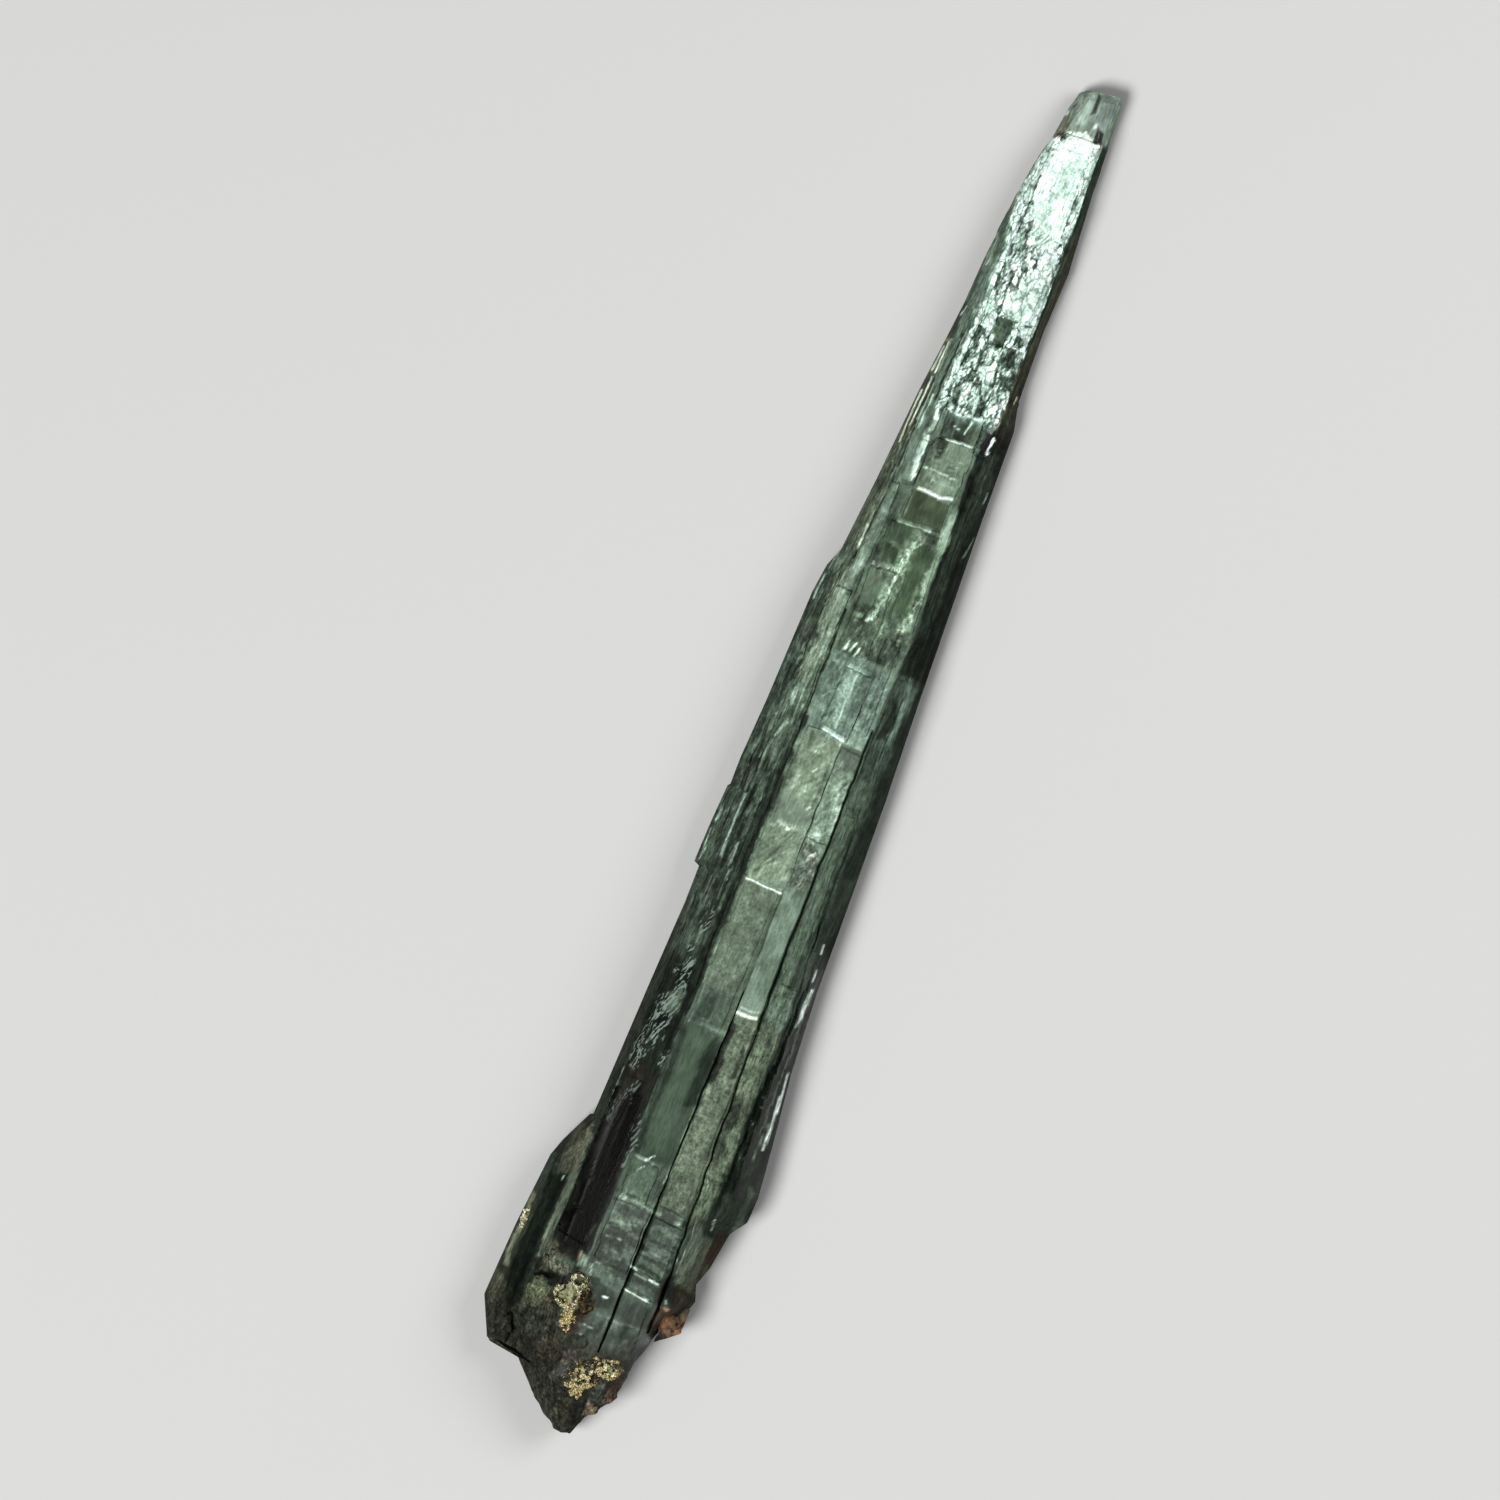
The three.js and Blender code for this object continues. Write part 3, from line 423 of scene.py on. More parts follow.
strokes, stroke_paleness = np.zeros_like(Z), np.full_like(Z, 0.9)
for x0, y0, x1, y1, half, count, band_lean, length, width, value in STROKE_BANDS:
    for _ in range(count):
        share = chance.uniform()
        x = x0 + (x1 - x0) * share + chance.uniform(-1, 1) * half
        y = y0 + (y1 - y0) * share + chance.normal(0, 0.3)
        long = length * chance.uniform(0.4, 1.5)
        lean = math.radians(chance.normal(band_lean, 9))
        ends = [[x, y], [x + long * math.sin(lean), y + long * math.cos(lean)]]
        stroke = line(ends, width * chance.uniform(0.6, 1.6), ragged=0.10)
        stroke = stroke * chance.uniform(0.5, 1.0)
        stroke_paleness = np.where(stroke > strokes, value, stroke_paleness)
        strokes = np.maximum(strokes, stroke)
relief += 0.05 * strokes * np.sign(stroke_paleness - 0.55) * (1 - 0.6 * on_front)
relief[:, 0] = relief[:, -1] = 0

surface = np.dstack([X, Y, Z])
face_way = np.cross(np.gradient(surface, axis=1), np.gradient(surface, axis=0))
face_way /= np.linalg.norm(face_way, axis=2, keepdims=True)
# the relief fades out over the outermost columns
keep_in = np.minimum(1, np.minimum(columns, columns[::-1]) / 3)[None, :, None]
top = surface + face_way * relief[:, :, None] * keep_in

# -- the mesh: upper side, back, the narrow sides between them, and the two ends --
back = np.dstack([back_x, back_y, back_z])
corners = list(top.reshape(-1, 3))
back_start = len(corners)
corners += list(back.reshape(-1, 3))


def top_at(i, j):
    return i * column_count + j


def back_at(i, j):
    return back_start + i * BACK_COLUMNS + j


faces = []
for i in range(row_count - 1):
    for j in range(column_count - 1):
        faces.append((top_at(i, j), top_at(i, j + 1), top_at(i + 1, j + 1), top_at(i + 1, j)))
    for j in range(BACK_COLUMNS - 1):
        faces.append((back_at(i, j), back_at(i + 1, j), back_at(i + 1, j + 1), back_at(i, j + 1)))
middles = {}  # each side's first corner halfway down
for side, top_column, back_column in (("left", 0, 0), ("right", column_count - 1, BACK_COLUMNS - 1)):
    middles[side] = start = len(corners)
    corners += [(top[i, top_column] + back[i, back_column]) / 2 for i in range(row_count)]
    for i in range(row_count - 1):
        upper = (top_at(i, top_column), top_at(i + 1, top_column))
        lower = (back_at(i, back_column), back_at(i + 1, back_column))
        middle = (start + i, start + i + 1)
        for a, b in ((upper, middle), (middle, lower)):
            strip = (a[0], a[1], b[1], b[0])
            faces.append(strip if side == "left" else strip[::-1])
for i, foot_end in ((0, True), (row_count - 1, False)):
    ring = [top_at(i, j) for j in range(column_count)] + [middles["right"] + i]
    ring += [back_at(i, j) for j in reversed(range(BACK_COLUMNS))] + [middles["left"] + i]
    faces.append(tuple(ring[::-1] if foot_end else ring))

crystal_mesh = bpy.data.meshes.new("vivianite_crystal")
crystal_mesh.from_pydata(in_frame(corners), [], faces)
crystal_mesh.validate()
crystal_mesh.polygons.foreach_set("use_smooth", np.ones(len(crystal_mesh.polygons), bool))
crystal_mesh.set_sharp_from_angle(angle=math.radians(SHARP_ANGLE))
crystal = add("vivianite_blade", crystal_mesh)

# -- how pale each place is, from 0, black, over 1, pale sage, to 1.25, silver --
paleness = np.full_like(X, 0.5)


def shade(value, area):
    """Brings an area to one paleness."""
    paleness[:] += (value - paleness) * np.clip(area, 0, 1)


def shade_blocks(areas):
    """Shades a block for each row of a table."""
    for value, *place in areas:
        shade(value, block(*place))


# the two facets, in broad stretches
shade(0.10, on_left * (1 - rise(Y, 44, 52)))
shade(0.19, on_left * rise(Y, 46, 54))
shade(0.32, on_left * rise(Y, 62, 72))
shade(0.44, on_left * rise(Y, 86, 92))
shade(0.27, on_right)
shade(0.06, on_right * rise(X, 5.2, 6.0) * (1 - rise(Y, 54, 58)))
shade(0.07, on_right * rise(Y + 0.1 * X, 80.3, 80.7))
shade(0.275, on_right * rise(Y, 104, 107))
AREAS = [  # paleness, left, right, low, high, and softness and raggedness where they differ
    # the front from the foot to the long smooth stretch
    [0.36, -4.2, 4.4, 8, 27.4, 0.3, 0.2], [0.235, -4.2, 4.4, 7.5, 14.6, 0.3, 0.5],
    [0.3, -3.6, 4.1, 15, 20.5, 0.3, 0.5], [0.3, -3.3, 4, 18.4, 19.6, 0.4, 0.9],
    [0.35, -3.4, 4.1, 11.2, 12.6, 0.5, 0.8], [0.41, -3.4, 3.6, 20.6, 23.3, 0.3],
    [0.5, -3, -0.6, 24, 27.2, 0.3, 0.4], [0.3, -0.5, 0.5, 23.6, 27.2, 0.2, 0.4],
    [0.36, -3.9, 0.55, 27.4, 41.5, 0.12, 0.1], [0.43, -2.8, -0.9, 28.5, 41, 0.4],
    [0.24, -3.7, -3.05, 27.6, 41, 0.2, 0.2], [0.22, -0.6, 0.4, 34, 41], [0.5, 0.58, 3, 24, 44, 0.08, 0.1],
    [0.1, 0.5, 1.15, 37, 43, 0.2, 0.4], [0.2, 2.5, 2.95, 38, 41.2, 0.15, 0.2],
    [0.42, -3.4, 0.55, 41.5, 45.6, 0.1, 0.1], [0.3, -2.9, -1.4, 42, 45.2, 0.2, 0.2],
    [0.505, -3.4, 0.55, 45.6, 56.4, 0.2, 0.4], [0.48, -3.3, -1.2, 48.5, 51.5, 0.4, 0.8],
    [0.61, 0.6, 2.9, 43.9, 57, 0.1, 0.15], [0.66, 0.6, 2.9, 44.5, 48, 0.5], [0.45, -0.2, 0.6, 46, 55],
    # the hatched stretch and the mint one above it
    [0.66, -3.6, 2.9, 56.5, 72.1, 0.1, 0.15], [0.62, -3.3, 0.5, 57, 62.2, 0.2, 0.4],
    [0.63, -3.2, 0.4, 62.6, 65, 0.3, 0.4], [0.78, -0.7, 0.3, 57.2, 60.4, 0.4, 0.5],
    [0.56, -3.4, -2.8, 58, 62, 0.2, 0.4], [0.78, -2.7, -2, 66.4, 68.2, 0.2, 0.4],
    [0.76, -1.5, -0.3, 66.2, 67.4, 0.3, 0.5], [0.46, 0, 0.4, 65.4, 69.8, 0.2, 0.2],
    [0.46, -2.7, -2.3, 70.4, 72, 0.12, 0.2], [0.5, -3.5, -3, 62.5, 69, 0.15],
    [0.52, 0.7, 1.9, 57.4, 60.4, 0.3, 0.6], [0.43, 1.6, 2.9, 56.6, 61.2, 0.3, 0.4],
    [0.3, 0.7, 1.6, 60.9, 61.7, 0.12, 0.2], [0.62, 0.6, 2.8, 61.8, 62.3, 0.1, 0.15],
    [0.48, 0.6, 2.7, 69.3, 72.1, 0.15, 0.2], [0.6, 0.6, 1.4, 69.3, 70.4],
    [0.62, -3.8, 2.7, 72.1, 80.2, 0.1, 0.15], [0.72, 0.7, 2.6, 72.3, 74, 0.3, 0.4],
    [0.5, -3.7, -2.2, 75, 80, 0.3, 0.5], [0.76, -1.6, -0.5, 73, 79, 0.3, 0.4], [0.5, 0, 1.1, 74.5, 79.5],
    [0.44, 1.6, 2, 74, 79, 0.15, 0.2],
    # the mixed stretch below the recess
    [0.4, -3.8, 2.6, 80.2, 93.9], [0.4, -3.7, -1, 81.6, 84.4, 0.3, 0.5],
    [0.36, 0, 1.7, 85.6, 92.2, 0.15, 0.35], [0.25, -2.8, -1.3, 89.7, 91.5, 0.15],
    [0.34, -3.2, -1, 91.9, 93.8, 0.15], [0.7, 1.9, 2.6, 88, 97, 0.15],
    [0.6, 1.4, 2.5, 83.6, 88.4, 0.25, 0.5], [0.42, -0.7, 0.4, 81, 84.6, 0.3, 0.5],
    [0.6, -1.8, -0.5, 84.8, 89.6, 0.2, 0.4], [0.48, -3.3, -1.9, 85.2, 88.5],
    [0.63, -1.2, -0.2, 89.4, 92.4, 0.2, 0.4],
    # the recess and the plates above it
    [0.52, -2.5, 1.6, 94, 97.4, 0.05, 0.06], [0.4, -2.2, 1.4, 94.3, 97.2, 0.12, 0.15],
    [0.34, -1.9, 0.4, 94.6, 96.2, 0.4, 0.6], [0.44, -1.2, 0.9, 95.8, 97, 0.3, 0.4],
    [0.57, -2.5, 1.8, 97.5, 103, 0.08, 0.15], [0.64, -0.9, 1.5, 97.9, 102.8], [0.72, -0.6, 1.2, 98, 99.2],
    [0.56, 0, 1.3, 99.6, 100.4, 0.15], [0.24, -1.7, -0.8, 100.9, 103.1, 0.12, 0.25],
    [0.5, -2.4, -1.7, 98, 103, 0.15], [0.56, 0.2, 0.9, 101.4, 102.6],
    [0.34, -1.9, 1, 103.1, 105.4, 0.1, 0.2], [0.24, -1.8, -0.7, 103.4, 105],
    # left facet
    [0.17, -8.6, -7.35, 12, 52, 0.1, 0.2], [0.06, -7.2, -4, 38, 46.5, 0.3, 0.5],
    [0.42, -5.6, -4.4, 41.6, 44.2, 0.2, 0.4], [0.3, -8.6, -6.8, 50, 88, 0.4],
    [0.14, -4.35, -3.65, 45, 73, 0.25, 0.6], [0.52, -6, -4.3, 73, 78, 0.5, 0.8],
    [0.68, -5.8, -4.2, 77, 86, 0.4, 0.6], [0.66, -5.4, -4.2, 84, 90, 0.6, 0.5],
    [0.4, -6.2, -4.8, 88, 104, 0.3], [0.86, -3.35, -2.85, 97.9, 103, 0.15, 0.55],
    [0.88, -3.15, -2.65, 103, 109, 0.12, 0.2], [0.88, -3.15, -2.6, 112, 117, 0.12, 0.2],
    [0.56, -4.2, -3.2, 104, 121, 0.2, 0.5], [0.7, -4.1, -3.6, 120, 123.5, 0.15],
    [0.3, -4.6, -4.2, 112, 116, 0.12, 0.2], [0.5, -6, -4.6, 41.9, 43.5, 0.25, 0.5],
    # right facet
    [0.49, 3.3, 5.4, 24, 48, 0.25, 0.4], [0.3, 3, 4.4, 30, 36, 0.3, 0.7], [0.44, 3, 4.5, 48, 66, 0.3, 0.4],
    [0.27, 4.6, 6.4, 48, 68, 0.5, 0.5], [0.38, 3.2, 4.3, 66.5, 79.9], [0.66, 4.3, 5, 71.5, 79.8, 0.3, 0.4],
    [0.36, 4.3, 5.1, 67, 73.5, 0.3], [0.2, 3.4, 4.2, 73.6, 77.6], [0.5, 3.2, 4.4, 50, 60, 0.3, 0.4],
    [0.14, 5.3, 6.6, 60, 80], [0.44, 4.7, 6, 16.8, 23.2, 0.3, 0.4], [0.36, 6, 6.8, 17, 23, 0.15],
    [0.26, 6.8, 7.6, 17, 20.4, 0.15], [0.15, 7, 7.9, 20.2, 23.6, 0.12], [0.18, 6.2, 8.9, 23.6, 27],
    [0.36, 8.2, 8.9, 24.4, 28.6, 0.12, 0.2], [0.12, 3.9, 4.7, 15.4, 18.2],
    [0.22, 3, 4.2, 84, 104, 0.3, 0.4],
    # the side blade
    [0.03, -10.25, -9.3, 12, 25, 0.15, 0.2], [0.05, -10.3, -8.5, 8, 28.5, 0.3, 0.4],
    [0.22, -11.9, -10.3, 5, 25, 0.1, 0.2], [0.62, -11.2, -10.75, 12.8, 20.5, 0.12, 0.25],
    [0.2, -11.8, -10.3, 12, 12.9, 0.15, 0.2], [0.5, -11.8, -10.4, 9, 12, 0.3],
    [0.34, -9.7, -8, 23.4, 28.6, 0.3, 0.4], [0.55, -8.45, -7.7, 15, 28, 0.12, 0.2],
]
shade_blocks(AREAS)
shade(-0.02, left_window)
shade(0.70 + 0.16 * blotch + 0.10 * grain, 0.85 * mint_strip)

# painted sheen: the silvery sheets are painted pale, up to near white, as flat flakes catching the light
# would look, and dull between; the tip above them
rag = rough(X / 0.4 + 0.15 * Y, Y / 1.1, 75)
sheen_flakes = rise(rag + 0.25 * plate_shade + 0.3 * rise(Y, 123, 127), -0.22, 0.10)
sheen = 0.50 + 0.12 * rise(Y, 114, 117) + 0.14 * rise(Y, 118, 123)
shade(sheen + 0.70 * sheen_flakes + 0.08 * rise(Y, 112, 124), silver)
# painted sheen: the split sheets painted near white, as a highlight
shade(1.17 + 0.07 * rag + 0.12 * blotch, silver * white)
shade(1.10, 0.6 * silver * block(-3.3, -2.2, 124, 133.5, 0.2, 0.4))
UPPER_SHEEN = [[-0.9, 128.6], [-0.6, 130.4], [0.3, 130.9], [0.9, 129.8], [0.8, 128.4], [0.0, 128.0]]
LOWER_SHEEN = [[-1.5, 124.6], [-1.2, 127.0], [-0.3, 127.8], [0.5, 126.2], [0.6, 124.6], [-0.4, 124.0]]
shade(1.00, 0.7 * blot(UPPER_SHEEN, 0.4, 0.5))
shade(0.98, 0.6 * blot(LOWER_SHEEN, 0.4, 0.5))
tip_zone = rise(Y + 0.3 * tear_x, 134.4, 135.2) * (1 - silver)
shade(0.72 + 0.10 * rag, tip_zone)
TIP_AREAS = [
    [0.58, -2.6, -1.6, 134, 137], [0.3, 0.05, 0.45, 137.5, 139.4, 0.12, 0.12],
    [0.24, 1.2, 2, 134.9, 136.2, 0.1, 0.15], [1.05, 0.75, 1.1, 136.1, 136.7, 0.08, 0.1],
    [1, -2.3, -1.95, 136.4, 137, 0.08, 0.1], [0.86, -0.8, -0.15, 136, 139.4, 0.15, 0.2],
    [0.56, 0.8, 2.2, 137, 139.6, 0.4, 0.5], [0.4, 1.2, 2.2, 111.5, 113.2, 0.15],
    [0.36, 0.3, 1.3, 106, 107.5, 0.12, 0.25], [0.3, -1.5, -1, 109.1, 109.8, 0.1, 0.15],
]
shade_blocks(TIP_AREAS)

# the broken foot
shade(0.14 + 0.10 * hackle, broken)
FOOT_AREAS = [
    [0.42, -8.1, -6, 10.1, 13.1, 0.3, 0.4], [0.26, -6.1, -5, 10, 11.6],
    [0.42, -7.8, -4.9, 14.1, 16.4, 0.3, 0.5], [0.08, -6.9, -5, 13.2, 14.2, 0.15, 0.2],
    [0.72, -4.6, -3.6, 15.8, 17, 0.15, 0.2], [0.28, 1.4, 3.2, 4, 6, 0.2, 0.4],
    [0.07, 0.2, 1.3, 1, 4.2, 0.12, 0.15], [0.5, 1.4, 2.4, 2.3, 3.6, 0.12, 0.15],
    [0.26, 3, 4, 4, 8, 0.2, 0.25], [0.3, -2.7, -1.2, 5, 8, 0.3, 0.5],
    [0.14, 4.4, 5.7, 10.8, 12.6, 0.2, 0.2], [0.14, 5.2, 7.6, 14.3, 17.2, 0.15, 0.15],
    [0.24, 5.7, 6.2, 14.5, 16.9, 0.15], [0.26, 4.2, 5.6, 12.4, 14.9, 0.2, 0.5],
    [0.05, 4, 5.4, 15.3, 17.6, 0.2, 0.2],
]
shade_blocks(FOOT_AREAS)

# grain, blotches and streaks, each where it belongs
smooth_area = strongest(smooth_front, calm, 0.7 * tip_zone,
                        blocks([[0.5, 0.6, 2.9, 44, 57], [0.4, -3.3, 4.2, 8, 15]]))
speckle = 0.05 + 0.08 * granular + 0.05 * flaky + 0.04 * bark + 0.06 * silver
speckle *= 1 - 0.8 * smooth_area
speckle *= 1 - 0.9 * glassy
streaks = rough(flow / 2.4, Y / 9, 61)
paleness += blotch * (0.10 * block(-2, 2.4, 103, 105.5) + 0.12 * block(0.6, 2.9, 44, 57, 0.3)
                      + 0.12 * block(0.8, 2.9, 57, 61.5, 0.3) + 0.06 * block(-3.3, 4.2, 8, 15, 0.3))
paleness += 1.2 * speckle * grain + flaky * (1 - 0.7 * calm) * (0.07 * flakes + 0.10 * hatch_low)
paleness += (blotch * (0.06 + 0.08 * granular + 0.16 * block(-3.8, 2.7, 79, 104, 0.5))
             * (1 - 0.7 * smooth_area) * (1 - left_window))
paleness += 0.08 * bark * furrows + bark_ridge * (0.08 * furrows + 0.24 * rise(knots, 0.2, 0.5))
paleness += 0.10 * streaks * on_sides * (1 - left_window) * (1 - 0.7 * mint_strip)
crumbs = rise(rough(X / 0.26, Y / 0.3, 85), 0.2, 0.5)
crumbly = strongest(
    line([[-1.4, 84.2], [-1.1, 86.4], [-0.8, 88.4], [-0.6, 90.4], [0.3, 92.8]], 0.9, 0.4, 0.5),
    line([[-3.0, 88.9], [-1.8, 89.1], [-0.7, 89.3]], 0.5, 0.25, 0.4),
    line([[-3.1, 86.0], [-2.4, 88.4]], 0.5, 0.3, 0.5),
    line([[-0.6, 80.6], [0.2, 83.6]], 0.8, 0.4, 0.5),
    line([[1.7, 82.6], [2.0, 85], [1.9, 88.6]], 0.9, 0.4, 0.5),
    blocks([[0.6, -2.2, -0.8, 97.8, 102.6, 0.3, 0.4], [1, 0.9, 2.8, 57.2, 61.8, 0.3, 0.5]]),
)
paleness += 0.16 * crumbs * crumbly * (1 - 0.7 * calm)
bands = cloud(X / 2.2 + 7, (Y + 0.15 * X + 0.3 * tear_x) / 0.45, 63)
paleness += 0.17 * (rise(bands, -0.15, 0.1) - 0.5) * block(-3.4, 4.0, 14.8, 24, 0.3, 0.3)
paleness += 0.05 * cloud(X / 4, Y / 1.2, 62) * smooth_area  # soft bands across the smooth stretches

